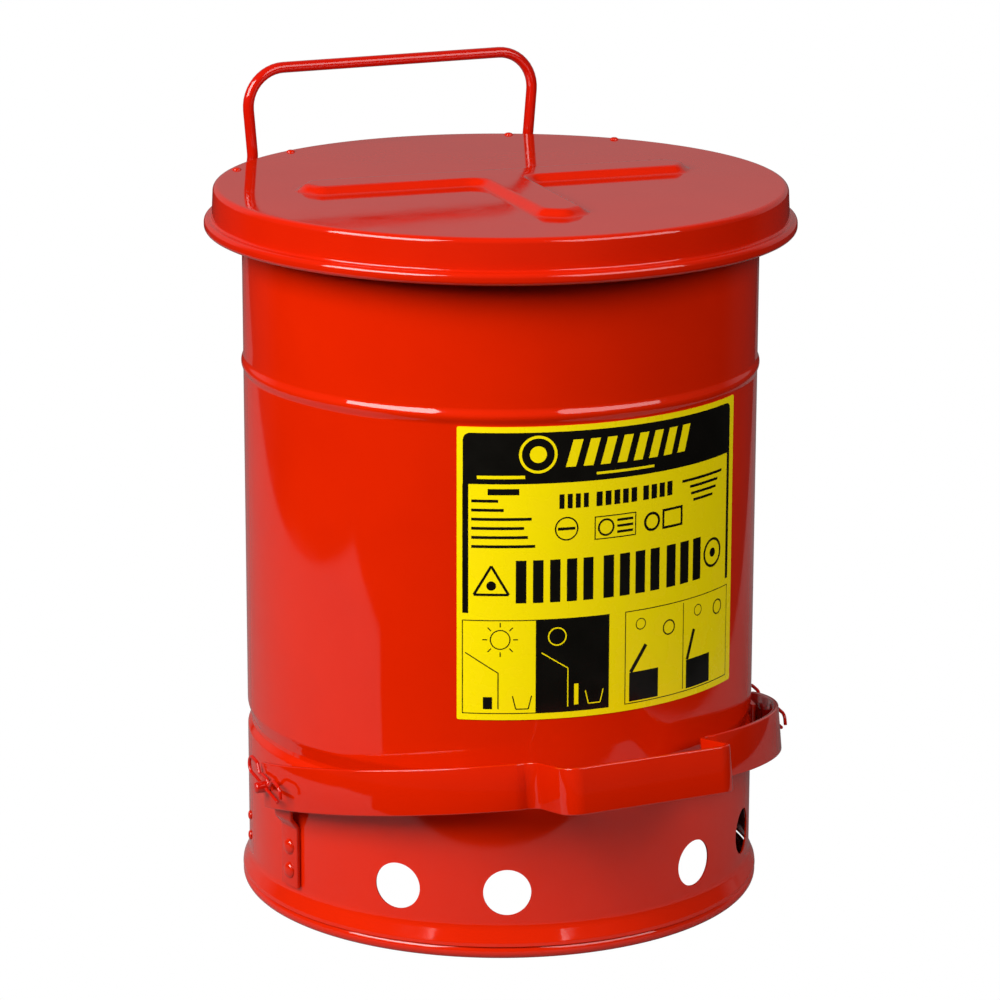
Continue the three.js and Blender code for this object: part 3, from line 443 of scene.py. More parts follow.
def markers(name: str, spots: Sequence[Spot]) -> bpy.types.Object:
    """Makes loose points that carry a direction and a size, for rivets and punches.

    Args:
        name: Name of the object.
        spots: Place in mm, outward direction and size of each one.

    Returns:
        A mesh of points with "outward" and "size" attributes.
    """
    mesh = bpy.data.meshes.new(name)
    mesh.from_pydata([place * MM for place, _, _ in spots], [], [])
    outward = mesh.attributes.new("outward", "FLOAT_VECTOR", "POINT")
    outward.data.foreach_set("vector", [axis for _, way, _ in spots for axis in way])
    mesh.attributes.new("size", "FLOAT", "POINT").data.foreach_set("value", [size for _, _, size in spots])
    return show(name, mesh)


class Jig:
    """A Geometry Nodes tree with named inputs that turns bare lines or points into finished parts."""

    def __init__(self, name: str, **inputs: float | int | None) -> None:
        """Starts the tree.

        Args:
            name: Name of the node tree.
            inputs: Default for each named input: a number, or None for an object.
        """
        self.tree = bpy.data.node_groups.new(name, "GeometryNodeTree")
        face = self.tree.interface
        face.new_socket("Geometry", in_out="INPUT", socket_type="NodeSocketGeometry")
        for label, default in inputs.items():
            kind = {int: "Int", float: "Float"}.get(type(default), "Object")
            socket = face.new_socket(label, in_out="INPUT", socket_type="NodeSocket" + kind)
            if default is not None:
                socket.default_value = default
        face.new_socket("Finish", in_out="INPUT", socket_type="NodeSocketMaterial")
        face.new_socket("Geometry", in_out="OUTPUT", socket_type="NodeSocketGeometry")
        self.given = self.tree.nodes.new("NodeGroupInput").outputs

    def node(self, kind: str, inputs: dict[int | str, Any],
            **settings: Any) -> bpy.types.bpy_prop_collection:
        """Adds a node to this tree and returns its outputs."""
        return add_node(self.tree, kind, inputs, **settings).outputs

    def attribute(self, name: str, kind: str = "FLOAT") -> bpy.types.NodeSocket:
        """Returns the output of a node that reads a named attribute."""
        return self.node("GeometryNodeInputNamedAttribute", {"Name": name}, data_type=kind)["Attribute"]

    def placed(self, points: Any, instance: Any, scale: Any) -> bpy.types.NodeSocket:
        """Puts an instance at every point, turned to face outwards.

        Args:
            points: Socket that gives the points, with their "outward" attribute.
            instance: Socket that gives the shape.
            scale: Socket that gives its size.

        Returns:
            The socket of the instances.
        """
        outward = self.attribute("outward", "FLOAT_VECTOR")
        facing = self.node("FunctionNodeAlignRotationToVector", {"Vector": outward}, axis="Z")[0]
        values = {"Points": points, "Instance": instance, "Rotation": facing, "Scale": scale}
        return self.node("GeometryNodeInstanceOnPoints", values)[0]

    def close(self, geometry: bpy.types.NodeSocket) -> "Jig":
        """Ends the tree with real geometry in its finish, and returns the jig."""
        real = self.node("GeometryNodeRealizeInstances", {"Geometry": geometry})[0]
        dressed = self.node("GeometryNodeSetMaterial", {"Geometry": real, "Material": self.given["Finish"]})
        self.node("NodeGroupOutput", {0: dressed[0]})
        return self

    def run(self, name: str, source: bpy.types.Object, values: dict[str, Any],
            crease: float = 38.0) -> bpy.types.Object:
        """Runs the tree on an object and keeps the result as a plain mesh.

        Args:
            name: Name of the finished piece.
            source: The bare line, points or mesh, which is used up.
            values: A value for each named input.
            crease: Smallest angle in degrees that stays a sharp edge.

        Returns:
            The finished piece.
        """
        modifier = source.modifiers.new("jig", "NODES")
        modifier.node_group = self.tree
        for item in self.tree.interface.items_tree:
            if item.in_out == "INPUT" and item.name in values:
                modifier[item.identifier] = values[item.name]
        piece = set_hard(name, source)
        smooth(piece.data, crease, outward=False)
        return piece


class Workshop:
    """The jigs that the sub-assemblies share, each built once."""

    def __init__(self) -> None:
        """Builds every jig."""
        self.rod = self._rod_jig()
        self.strap = self._strap_jig()
        self.rivets = self._rivet_jig()
        self.punch = self._punch_jig()

    @staticmethod
    def _rod_jig() -> Jig:
        """Round bar or wire along a line."""
        jig = Jig("round_rod", Radius=0.003, Sides=24)
        line = jig.node("GeometryNodeMeshToCurve", {"Mesh": jig.given["Geometry"]})[0]
        circle = {"Resolution": jig.given["Sides"], "Radius": jig.given["Radius"]}
        section = jig.node("GeometryNodeCurvePrimitiveCircle", circle)[0]
        sweep = {"Curve": line, "Profile Curve": section, "Scale": jig.attribute("swell"),
            "Fill Caps": True}
        return jig.close(jig.node("GeometryNodeCurveToMesh", sweep)[0])

    @staticmethod
    def _strap_jig() -> Jig:
        """Flat strap with eased edges, bent along a line that lies in the XY plane."""
        jig = Jig("flat_strap", Thickness=0.003, Width=0.02, Edge=0.0005)
        line = jig.node("GeometryNodeMeshToCurve", {"Mesh": jig.given["Geometry"]})[0]
        upright = jig.node("GeometryNodeSetCurveNormal", {"Curve": line}, mode="Z_UP")[0]
        sides = {"Width": jig.given["Thickness"], "Height": jig.given["Width"]}
        section = jig.node("GeometryNodeCurvePrimitiveQuadrilateral", sides)[0]
        ease = {"Curve": section, "Count": 3, "Radius": jig.given["Edge"], "Limit Radius": True}
        eased = jig.node("GeometryNodeFilletCurve", ease, mode="POLY")[0]
        sweep = {"Curve": upright, "Profile Curve": eased, "Fill Caps": True}
        return jig.close(jig.node("GeometryNodeCurveToMesh", sweep)[0])

    @staticmethod
    def _rivet_jig() -> Jig:
        """A rivet at every point, turned outwards, each set a little differently by hand."""
        jig = Jig("hand_set_rivets", Rivet=None, Unevenness=0.05, Seed=7)
        pattern = jig.node("GeometryNodeObjectInfo", {"Object": jig.given["Rivet"]})["Geometry"]
        least = jig.node("ShaderNodeMath", {0: 1.0, 1: jig.given["Unevenness"]}, operation="SUBTRACT")[0]
        spread = {2: least, 3: 1.0, "Seed": jig.given["Seed"]}
        luck = jig.node("FunctionNodeRandomValue", spread, data_type="FLOAT")[1]
        size = jig.node("ShaderNodeMath", {0: luck, 1: jig.attribute("size")}, operation="MULTIPLY")[0]
        return jig.close(jig.placed(jig.given["Geometry"], pattern, size))

    @staticmethod
    def _punch_jig() -> Jig:
        """Round holes punched through a sheet at every marker, whose size is the hole's radius in mm."""
        jig = Jig("punched_holes", Punches=None, Stroke=0.03, Sides=64)
        marks = jig.node("GeometryNodeObjectInfo", {"Object": jig.given["Punches"]})["Geometry"]
        round_tool = {"Vertices": jig.given["Sides"], "Radius": 1.0 * MM, "Depth": jig.given["Stroke"]}
        tool = jig.node("GeometryNodeMeshCylinder", round_tool)["Mesh"]
        radius = jig.attribute("size")
        size = jig.node("ShaderNodeCombineXYZ", {"X": radius, "Y": radius, "Z": 1.0})[0]
        tools = jig.node("GeometryNodeRealizeInstances", {"Geometry": jig.placed(marks, tool, size)})[0]
        cut = {"Mesh 1": jig.given["Geometry"], "Mesh 2": tools}
        holed = jig.node("GeometryNodeMeshBoolean", cut, operation="DIFFERENCE", solver="EXACT")
        return jig.close(holed["Mesh"])

    def bar(self, name: str, line: Sequence[Vector], radius: float, sides: int = 24,
            cyclic: bool = False) -> bpy.types.Object:
        """Makes a round rod.

        Args:
            name: Name of the piece.
            line: Its centre line in mm.
            radius: Its radius in mm.
            sides: Sides of its round section.
            cyclic: Whether it closes on itself.

        Returns:
            The rod.
        """
        path = wire(name + "_line", line, cyclic, eased_ends=0.0 if cyclic else radius * 0.35)
        return self.rod.run(name, path, {"Radius": radius * MM, "Sides": sides}, crease=60.0)

    def bend_strap(self, name: str, line: Sequence[Vector], thickness: float, width: float, edge: float,
            place: Matrix) -> bpy.types.Object:
        """Makes a flat strap bent in the XY plane, then moves it to its place.

        Args:
            name: Name of the piece.
            line: Its middle line in mm, in the XY plane.
            thickness: Sheet thickness in mm.
            width: Width in mm, along Z.
            edge: Rounding of its edges in mm.
            place: Turn and shift to its place, in mm.

        Returns:
            The strap.
        """
        values = {"Thickness": thickness * MM, "Width": width * MM, "Edge": edge * MM}
        strap = self.strap.run(name, wire(name + "_line", line), values, crease=40.0)
        move = place.copy()
        move.translation = place.translation * MM
        strap.data.transform(move)
        smooth(strap.data, 40.0)
        return strap

    def pierce(self, piece: bpy.types.Object, holes: Sequence[Spot],
            stroke: float = 24.0) -> bpy.types.Object:
        """Punches round holes through a piece.

        Args:
            piece: The piece, which is used up.
            holes: Place in mm, direction and radius in mm of each hole.
            stroke: Length of the punch in mm.

        Returns:
            The pierced piece under the same name.
        """
        name = piece.name
        piece.name = name + "_blank"
        punches = markers(name + "_punches", holes)
        pierced = self.punch.run(name, piece, {"Punches": punches, "Stroke": stroke * MM})
        bpy.data.objects.remove(punches)
        return pierced

    def rivet_rows(self, name: str, spots: Sequence[Spot], shape: "RivetShape",
            seed: int) -> bpy.types.Object:
        """Sets rivets at the marked spots.

        Args:
            name: Name of the piece.
            spots: Place in mm, outward direction and scale of each rivet.
            shape: The rivet's shape.
            seed: Seed for their unevenness.

        Returns:
            All the rivets as one piece.
        """
        pattern = shape.pattern()
        rivets = self.rivets.run(name, markers(name + "_spots", spots),
            {"Rivet": pattern, "Unevenness": 0.05, "Seed": seed})
        bpy.data.objects.remove(pattern)
        return rivets


def refined(name: str, nodes: Sequence[str], bevel: float = 0.35, crease: float = 32.0) -> bpy.types.Object:
    """Copies plain solids, merges their faces and eases their edges, as cut and folded sheet has.

    Args:
        name: Name of the new piece.
        nodes: The solids to copy.
        bevel: Width of the eased edge in mm.
        crease: Smallest angle in degrees that counts as an edge.

    Returns:
        The refined piece.
    """
    work = bmesh.new()
    for node in nodes:
        work.from_mesh(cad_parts[node].data)
    bmesh.ops.translate(work, verts=work.verts, vec=-CAN_AXIS)
    bmesh.ops.remove_doubles(work, verts=work.verts, dist=0.005 * MM)
    bmesh.ops.dissolve_limit(work, angle_limit=math.radians(1.0), verts=work.verts, edges=work.edges)
    bmesh.ops.recalc_face_normals(work, faces=work.faces)
    mesh = bpy.data.meshes.new(name + "_blank")
    work.to_mesh(mesh)
    work.free()
    smooth(mesh, crease)
    blank = show(name + "_blank", mesh)
    ease = blank.modifiers.new("eased_edges", "BEVEL")
    ease.width = bevel * MM
    ease.segments = 2
    ease.limit_method = "ANGLE"
    ease.angle_limit = math.radians(crease)
    ease.harden_normals = True
    return set_hard(name, blank)


@dataclass(frozen=True)
class RivetShape:
    """A domed rivet head with a set tail, as (radius, height) sizes in mm."""

    head: float = 4.8
    dome: float = 2.4
    shank: float = 2.2
    reach: float = 3.0

    def pattern(self) -> bpy.types.Object:
        """Returns one rivet along +Z with its head standing on z = 0."""
        bow = [(self.head * math.sin(a), self.dome * math.cos(a))
            for a in np.linspace(0, math.pi / 2 - 0.12, 9)]
        profile = [*[(abs(r), z) for r, z in bow], (self.head, 0.12), (self.head * 0.96, 0.0),
            (self.shank, 0.0), (self.shank, -self.reach), (0.0, -self.reach)]
        return turned("rivet_pattern", profile, segments=28, crease=50.0)


# ---------- sub-assemblies ----------
@dataclass
class SubAssembly:
    """A sub-assembly with the jigs that make its pieces and the finishes that coat them.

    Args:
        shop: The shared jigs.
        finishes: The shared materials.
    """

    shop: Workshop
    finishes: Finishes

    def dress(self) -> None:
        """Makes every piece of the sub-assembly and fixes it to its body."""
        raise NotImplementedError


@dataclass
class CanBody(SubAssembly):
    """The rolled can: wall with its bead, groove, flare and vents, rolled rings and the raised bottom."""

    radius: float = BODY_RADIUS
    height: float = 404.8
    sheet: float = 0.9
    foot_roll: float = 4.3
    foot_inset: float = 0.6
    rim_roll: float = 2.9
    rim_out: float = 0.9
    floor: float = 101.8
    flange: float = 12.0
    groove: float = 97.0
    groove_half: float = 4.5
    groove_depth: float = 2.3
    bead: float = 306.0
    bead_half: float = 5.0
    bead_out: float = 1.2
    vent: float = 13.2
    vent_height: float = 38.0
    vent_angles: tuple[float, ...] = (23.5, 48.0)
    slot_low: float = 50.4
    slot_high: float = 85.2
    slot_half: float = 11.2

    def outline(self) -> list[Point]:
        """Returns the wall's outer line from the foot up, as (radius, height)."""
        r = self.radius
        foot = 2 * self.foot_roll
        low = [Corner((r + 3.8, foot - 0.8)), Corner((r + 3.6, foot + 1.2), 2.0),
            Corner((r, foot + 9.6), 12.0), Corner((r, self.slot_low)), Corner((r, self.slot_high)),
            Corner((r, self.groove - self.groove_half), 3.0),
            Corner((r - self.groove_depth, self.groove - 0.2 * self.groove_half), 1.6),
            Corner((r - self.groove_depth, self.groove + 0.4 * self.groove_half), 3.0),
            Corner((r, self.groove + 2.2 * self.groove_half), 9.0),
            Corner((r, self.groove + 4.2 * self.groove_half))]
        line = [(p.x, p.y) for p in bent(low, 6)]
        for share in np.linspace(-1, 1, 25):
            swell = self.bead_out * math.cos(share * math.pi / 2) ** 2
            line.append((r + swell, self.bead + share * self.bead_half))
        line.append((r, self.bead + 2.4 * self.bead_half))
        line.append((r, self.height - 2 * self.rim_roll + 0.3))
        return line

    def shell(self) -> bpy.types.Object:
        """Makes the wall, cuts the slot and punches the vents and pin holes."""
        outer = self.outline()
        inner = [(radius - self.sheet, height) for radius, height in reversed(outer)]
        wall = turned("can_wall", outer + inner)
        self._cut_slot(wall.data)
        holes = []
        for angle in self.vent_angles:
            for place in (angle, -angle, 180 - angle, 180 + angle):
                way = round_the_can(place, 1.0, 0.0)
                holes.append((round_the_can(place, self.radius, self.vent_height), way, self.vent))
        for side in Side:
            pin = Vector((side.value * self.radius, PIVOT_BACK, PIVOT_HEIGHT))
            holes.append((pin, Vector((side.value, 0, 0)), 4.4))
        wall = self.shop.pierce(wall, holes)
        self._true_normals(wall.data)
        return wall

    def _cut_slot(self, mesh: bpy.types.Mesh) -> None:
        """Opens the slot for the yoke in the back of the skirt and closes its edges.

        Args:
            mesh: The wall.
        """
        work = bmesh.new()
        work.from_mesh(mesh)
        gone = []
        for face in work.faces:
            middle = face.calc_center_median() / MM
            inside = abs(middle.x) < self.slot_half and middle.y > 0
            if inside and self.slot_low < middle.z < self.slot_high:
                gone.append(face)
        bmesh.ops.delete(work, geom=gone, context="FACES")
        rims = [edge for edge in work.edges if edge.is_boundary]
        bmesh.ops.bridge_loops(work, edges=rims)
        bmesh.ops.recalc_face_normals(work, faces=work.faces)
        work.to_mesh(mesh)
        work.free()

    def _true_normals(self, mesh: bpy.types.Mesh) -> None:
        """Gives the plain cylinder round the vents its exact normals, so that its shine doesn't break.

        Args:
            mesh: The pierced wall.
        """
        normals = [corner.vector.copy() for corner in mesh.corner_normals]
        low, high = (2 * self.foot_roll + 16.0) * MM, (self.groove - self.groove_half - 3.0) * MM
        for face in mesh.polygons:
            centre = face.center
            radial = Vector((centre.x, centre.y, 0)).normalized()
            lean = face.normal.dot(radial)
            if abs(lean) < 0.97 or not low < centre.z < high:
                continue
            for corner in face.loop_indices:
                place = mesh.vertices[mesh.loops[corner].vertex_index].co
                way = Vector((place.x, place.y, 0)).normalized()
                normals[corner] = way if lean > 0 else -way
        mesh.normals_split_custom_set(normals)

    def ring(self, name: str, radius: float, height: float, roll: float) -> bpy.types.Object:
        """Makes a rolled edge as a round bead that runs right round the can."""
        line = [round_the_can(angle, radius, height) for angle in np.linspace(0, 360, 360, endpoint=False)]
        return self.shop.bar(name, line, roll, sides=28, cyclic=True)

    def bottom(self) -> bpy.types.Object:
        """Makes the raised bottom pan with its turned-up flange."""
        out = self.radius - self.sheet - self.groove_depth - 0.3
        under = [Corner((0.0, self.floor)), Corner((out * 0.6, self.floor)), Corner((out, self.floor), 3.0),
            Corner((out, self.floor + self.flange)), Corner((out - self.sheet, self.floor + self.flange)),
            Corner((out - self.sheet, self.floor + self.sheet), 2.1),
            Corner((out * 0.6, self.floor + self.sheet)), Corner((0.0, self.floor + self.sheet))]
        return turned("raised_bottom", [(p.x, p.y) for p in bent(under, 5)], segments=240)

    def dress(self) -> None:
        """Makes every piece of the can's body and fixes it to the can."""
        fit(self.shell(), Body.CAN, self.finishes.sheet, ["body_shell"])
        foot = self.ring("rolled_foot", self.radius - self.foot_inset, self.foot_roll, self.foot_roll)
        fit(foot, Body.CAN, self.finishes.sheet, ["foot_ring"])
        rim = self.ring("rolled_rim", self.radius + self.rim_out, self.height - self.rim_roll,
            self.rim_roll)
        fit(rim, Body.CAN, self.finishes.sheet, ["rim_ring"])
        fit(self.bottom(), Body.CAN, self.finishes.sheet, ["bottom_pan"])
        fit(refined("lap_seam", ["side_seam"], bevel=0.3), Body.CAN, self.finishes.sheet, ["side_seam"])


@dataclass
class Label(SubAssembly):
    """A printed vinyl label wrapped round the front of the can, with plain bars and shapes and no wording.

    Across and up are measured in mm from the label's bottom middle.
    """

    base: float = 145.06
    film: float = 0.3
    ink: float = 0.05
    angle: float = 1.1
    bottom: float = 137.4
    half: float = 90.25
    tall: float = 163.4
    facet: float = 3.0

    def wrapped(self, name: str, shapes: Sequence[Sequence[Point]], lift: float,
            depth: float) -> bpy.types.Object:
        """Cuts flat shapes from film and wraps them on the can.

        Args:
            name: Name of the piece.
            shapes: Outlines of convex or plain shapes, in mm.
            lift: Height of the film's underside over the label's base, in mm.
            depth: Film thickness in mm.

        Returns:
            The wrapped film.
        """
        work = bmesh.new()
        for shape in shapes:
            work.faces.new([work.verts.new((across, up, 0.0)) for across, up in shape])
        bmesh.ops.remove_doubles(work, verts=work.verts, dist=0.01)
        for step in range(1, int(2 * self.half / self.facet) + 1):
            cut = -self.half + step * self.facet
            everything = [*work.verts, *work.edges, *work.faces]
            bmesh.ops.bisect_plane(work, geom=everything, plane_co=(cut, 0, 0), plane_no=(1, 0, 0))
        top = bmesh.ops.extrude_face_region(work, geom=list(work.faces), use_keep_orig=True)
        raised = [item for item in top["geom"] if isinstance(item, bmesh.types.BMVert)]
        bmesh.ops.translate(work, verts=raised, vec=(0, 0, depth))
        for vert in work.verts:
            across, up, out = vert.co
            turn = self.angle + math.degrees(across / (self.base + self.film))
            vert.co = round_the_can(turn, self.base + lift + out, self.bottom + up) * MM
        bmesh.ops.recalc_face_normals(work, faces=work.faces)
        mesh = bpy.data.meshes.new(name)
        work.to_mesh(mesh)
        work.free()
        smooth(mesh, 30.0)
        return show(name, mesh)

    @staticmethod
    def bar(left: float, low: float, right: float, high: float, lean: float = 0.0) -> list[list[Point]]:
        """A filled rectangle whose top may lean sideways."""
        return [[(left, low), (right, low), (right + lean, high), (left + lean, high)]]

    @staticmethod
    def round_bar(left: float, low: float, right: float, high: float,
            radii: Sequence[float]) -> list[list[Point]]:
        """A filled rectangle with its own radius at each corner, from bottom left round to top left.

        Args:
            left: Left side in mm.
            low: Bottom in mm.
            right: Right side in mm.
            high: Top in mm.
            radii: The four radii in mm.

        Returns:
            Its outline, as a list of one.
        """
        corners = ((left, low), (right, low), (right, high), (left, high))
        outline: list[Point] = []
        for (x, y), r, turn in zip(corners, radii, (180, 270, 0, 90)):
            if r <= 0:
                outline.append((x, y))
                continue
            cx = x + r if x == left else x - r
            cy = y + r if y == low else y - r
            for step in range(7):
                a = math.radians(turn + 15 * step)
                outline.append((cx + r * math.cos(a), cy + r * math.sin(a)))
        return [outline]

    @staticmethod
    def ring(x: float, y: float, radius: float, line: float, steps: int = 36) -> list[list[Point]]:
        """A round outline, or a disc where the line is as wide as the radius.

        Args:
            x: Middle across in mm.
            y: Middle up in mm.
            radius: Outer radius in mm.
            line: Width of the line in mm.
            steps: Steps in the whole turn.

        Returns:
            The outlines of its short pieces.
        """
        inner = radius - line
        shapes = []
        for step in range(steps):
            a, b = (2 * math.pi * (step + k) / steps for k in (0, 1))
            outer = [(x + radius * math.cos(t), y + radius * math.sin(t)) for t in (a, b)]
            if inner <= 0.01:
                shapes.append([(x, y), *outer])
                continue
            near = [(x + inner * math.cos(t), y + inner * math.sin(t)) for t in (b, a)]
            shapes.append([*outer, *near])
        return shapes

    def frame(self, left: float, low: float, right: float, high: float, line: float) -> list[list[Point]]:
        """A rectangular outline."""
        return [*self.bar(left, low, right, low + line), *self.bar(left, high - line, right, high),
            *self.bar(left, low + line, left + line, high - line),
            *self.bar(right - line, low + line, right, high - line)]

    @staticmethod
    def stroke(points: Sequence[Point], line: float) -> list[list[Point]]:
        """A line of even width through points.

        Args:
            points: The points in mm.
            line: Width of the line in mm.

        Returns:
            The outline of each straight stretch.
        """
        shapes = []
        for (ax, ay), (bx, by) in zip(points, points[1:]):
            length = math.hypot(bx - ax, by - ay)
            nx, ny = -(by - ay) / length * line / 2, (bx - ax) / length * line / 2
            shapes.append([(ax + nx, ay + ny), (ax - nx, ay - ny), (bx - nx, by - ny), (bx + nx, by + ny)])
        return shapes

    def blocks(self, spans: Sequence[tuple[float, float]], low: float, high: float, pitch: float,
            share: float = 0.62) -> list[list[Point]]:
        """Rows of equal blocks that hold the place of a line of large type.

        Args:
            spans: Left and right end of each row.
            low: Bottom of the rows.
            high: Top of the rows.
            pitch: Distance from block to block.
            share: Width of a block as a share of the pitch.

        Returns:
            The blocks.
        """
        shapes: list[list[Point]] = []
        for left, right in spans:
            count = max(1, round((right - left) / pitch))
            step = (right - left + pitch * (1 - share)) / count
            for i in range(count):
                x = left + i * step
                shapes += self.bar(x, low, x + step - pitch * (1 - share), high)
        return shapes

    def black_shapes(self) -> list[list[Point]]:
        """Returns everything printed in black."""
        shapes = self.round_bar(-87.0, 132.0, 85.6, 160.2, (0, 0, 4.0, 4.0))
        shapes += self.bar(-87.2, 60.2, -84.0, 132.0) + self.bar(82.9, 60.0, 85.6, 132.0)
        for i, right in enumerate((-68, -65, -50, -54, -52, -48)):
            shapes += self.bar(-82.4, 121.9 - 5.05 * i, right, 123.5 - 5.05 * i)
        shapes += self.bar(-73.6, 126.0, -56.7, 129.4)
        shapes += self.blocks(((-34.9, -18.5), (-14.0, 10.5), (14.5, 34.5)), 117.6, 125.6, 4.6)
        for i, (left, right) in enumerate(((42, 77), (48, 73), (49, 71), (51, 68))):
            shapes += self.bar(left, 122.9 - 3.9 * i, right, 124.4 - 3.9 * i)
        shapes += self.ring(-30.8, 106.4, 6.6, 0.8) + self.bar(-35.6, 105.6, -26.0, 107.2)
        shapes += self.frame(-15.0, 98.9, 10.1, 111.9, 0.6) + self.ring(-8.2, 105.4, 4.9, 1.1)
        for i in range(3):
            shapes += self.bar(-1.6, 108.0 - 3.3 * i, 8.2, 109.4 - 3.3 * i)
        shapes += self.ring(20.6, 104.9, 5.4, 1.5) + self.frame(27.6, 99.4, 42.4, 110.6, 1.4)
        shapes += self.stroke(((-81.0, 70.6), (-62.2, 70.6), (-71.6, 86.6), (-81.0, 70.6)), 1.4)
        shapes += self.ring(-71.6, 75.6, 2.6, 2.6)
        shapes += self.blocks(((-58.4, -15.5), (-9.5, 26.0), (31.0, 57.8)), 65.8, 89.6, 8.6, 0.58)
        shapes += self.ring(68.9, 78.4, 8.4, 1.5) + self.ring(68.9, 78.4, 2.6, 2.6)
        shapes += self.frame(-87.4, 3.5, -46.9, 56.4, 0.5) + self.bar(-46.9, 3.5, -5.8, 56.4)
        shapes += self.ring(-66.7, 45.4, 5.6, 0.6)
        for i in range(8):
            c, d = math.cos(math.pi * i / 4), math.sin(math.pi * i / 4)
            shapes += self.stroke(((-66.7 + 7.0 * c, 45.4 + 7.0 * d), (-66.7 + 9.6 * c, 45.4 + 9.6 * d)),
                0.6)
        shapes += self.stroke(((-85.6, 38.0), (-67.8, 26.6), (-67.8, 6.2)), 0.6)
        shapes += self.stroke(((-60.0, 13.6), (-58.2, 6.2), (-51.4, 6.2), (-49.6, 13.6)), 0.6)
        shapes += self.bar(-76.0, 6.2, -71.0, 13.0)
        shapes += self.frame(3.9, 3.6, 85.2, 56.4, 0.5) + self.bar(44.0, 5.4, 44.5, 54.6)
        shapes += self.ring(13.9, 48.2, 3.3, 0.5) + self.ring(33.3, 43.0, 4.4, 0.8)
        shapes += self.ring(56.2, 48.2, 3.3, 0.5) + self.ring(74.6, 46.0, 4.4, 0.8)
        shapes += self.bar(6.8, 4.9, 25.9, 21.4) + self.stroke(((7.6, 21.6), (17.4, 36.0)), 2.2)
        shapes += self.bar(46.9, 4.9, 67.2, 21.4) + self.stroke(((47.6, 21.6), (53.0, 38.0)), 2.2)
        return shapes

    def yellow_shapes(self) -> list[list[Point]]:
        """Returns everything printed in yellow over the black."""
        shapes = self.ring(-46.5, 148.1, 10.4, 1.5) + self.ring(-46.5, 148.1, 4.6, 4.6)
        for i in range(8):
            left = -31.5 + 9.9 * i
            shapes += self.bar(left, 140.6, left + 5.6, 155.4, lean=4.2)
        shapes += self.bar(-14.0, 135.2, 21.6, 136.6) + self.bar(-79.4, 134.9, -53.6, 136.7)
        shapes += self.ring(-35.6, 46.4, 5.2, 0.7)
        shapes += self.stroke(((-44.2, 37.6), (-29.6, 28.2), (-29.6, 6.4)), 0.6)
        shapes += self.stroke(((-19.6, 14.6), (-17.8, 7.2), (-11.0, 7.2), (-9.2, 14.6)), 0.6)
        shapes += self.bar(-26.0, 7.2, -23.6, 19.0)
        return shapes

    def dress(self) -> None:
        """Makes the film and its print and fixes them to the can."""
        sheet = self.round_bar(-self.half, 0.0, self.half, self.tall, (1.0, 1.0, 1.0, 1.0))
        film = self.wrapped("label_film", sheet, 0.0, self.film)
        fit(film, Body.CAN, self.finishes.yellow, ["label"])
        black = self.wrapped("label_black_print", self.black_shapes(), self.film, self.ink)
        fit(black, Body.CAN, self.finishes.black)
        yellow = self.wrapped("label_yellow_print", self.yellow_shapes(), self.film + self.ink, self.ink)
        fit(yellow, Body.CAN, self.finishes.yellow)


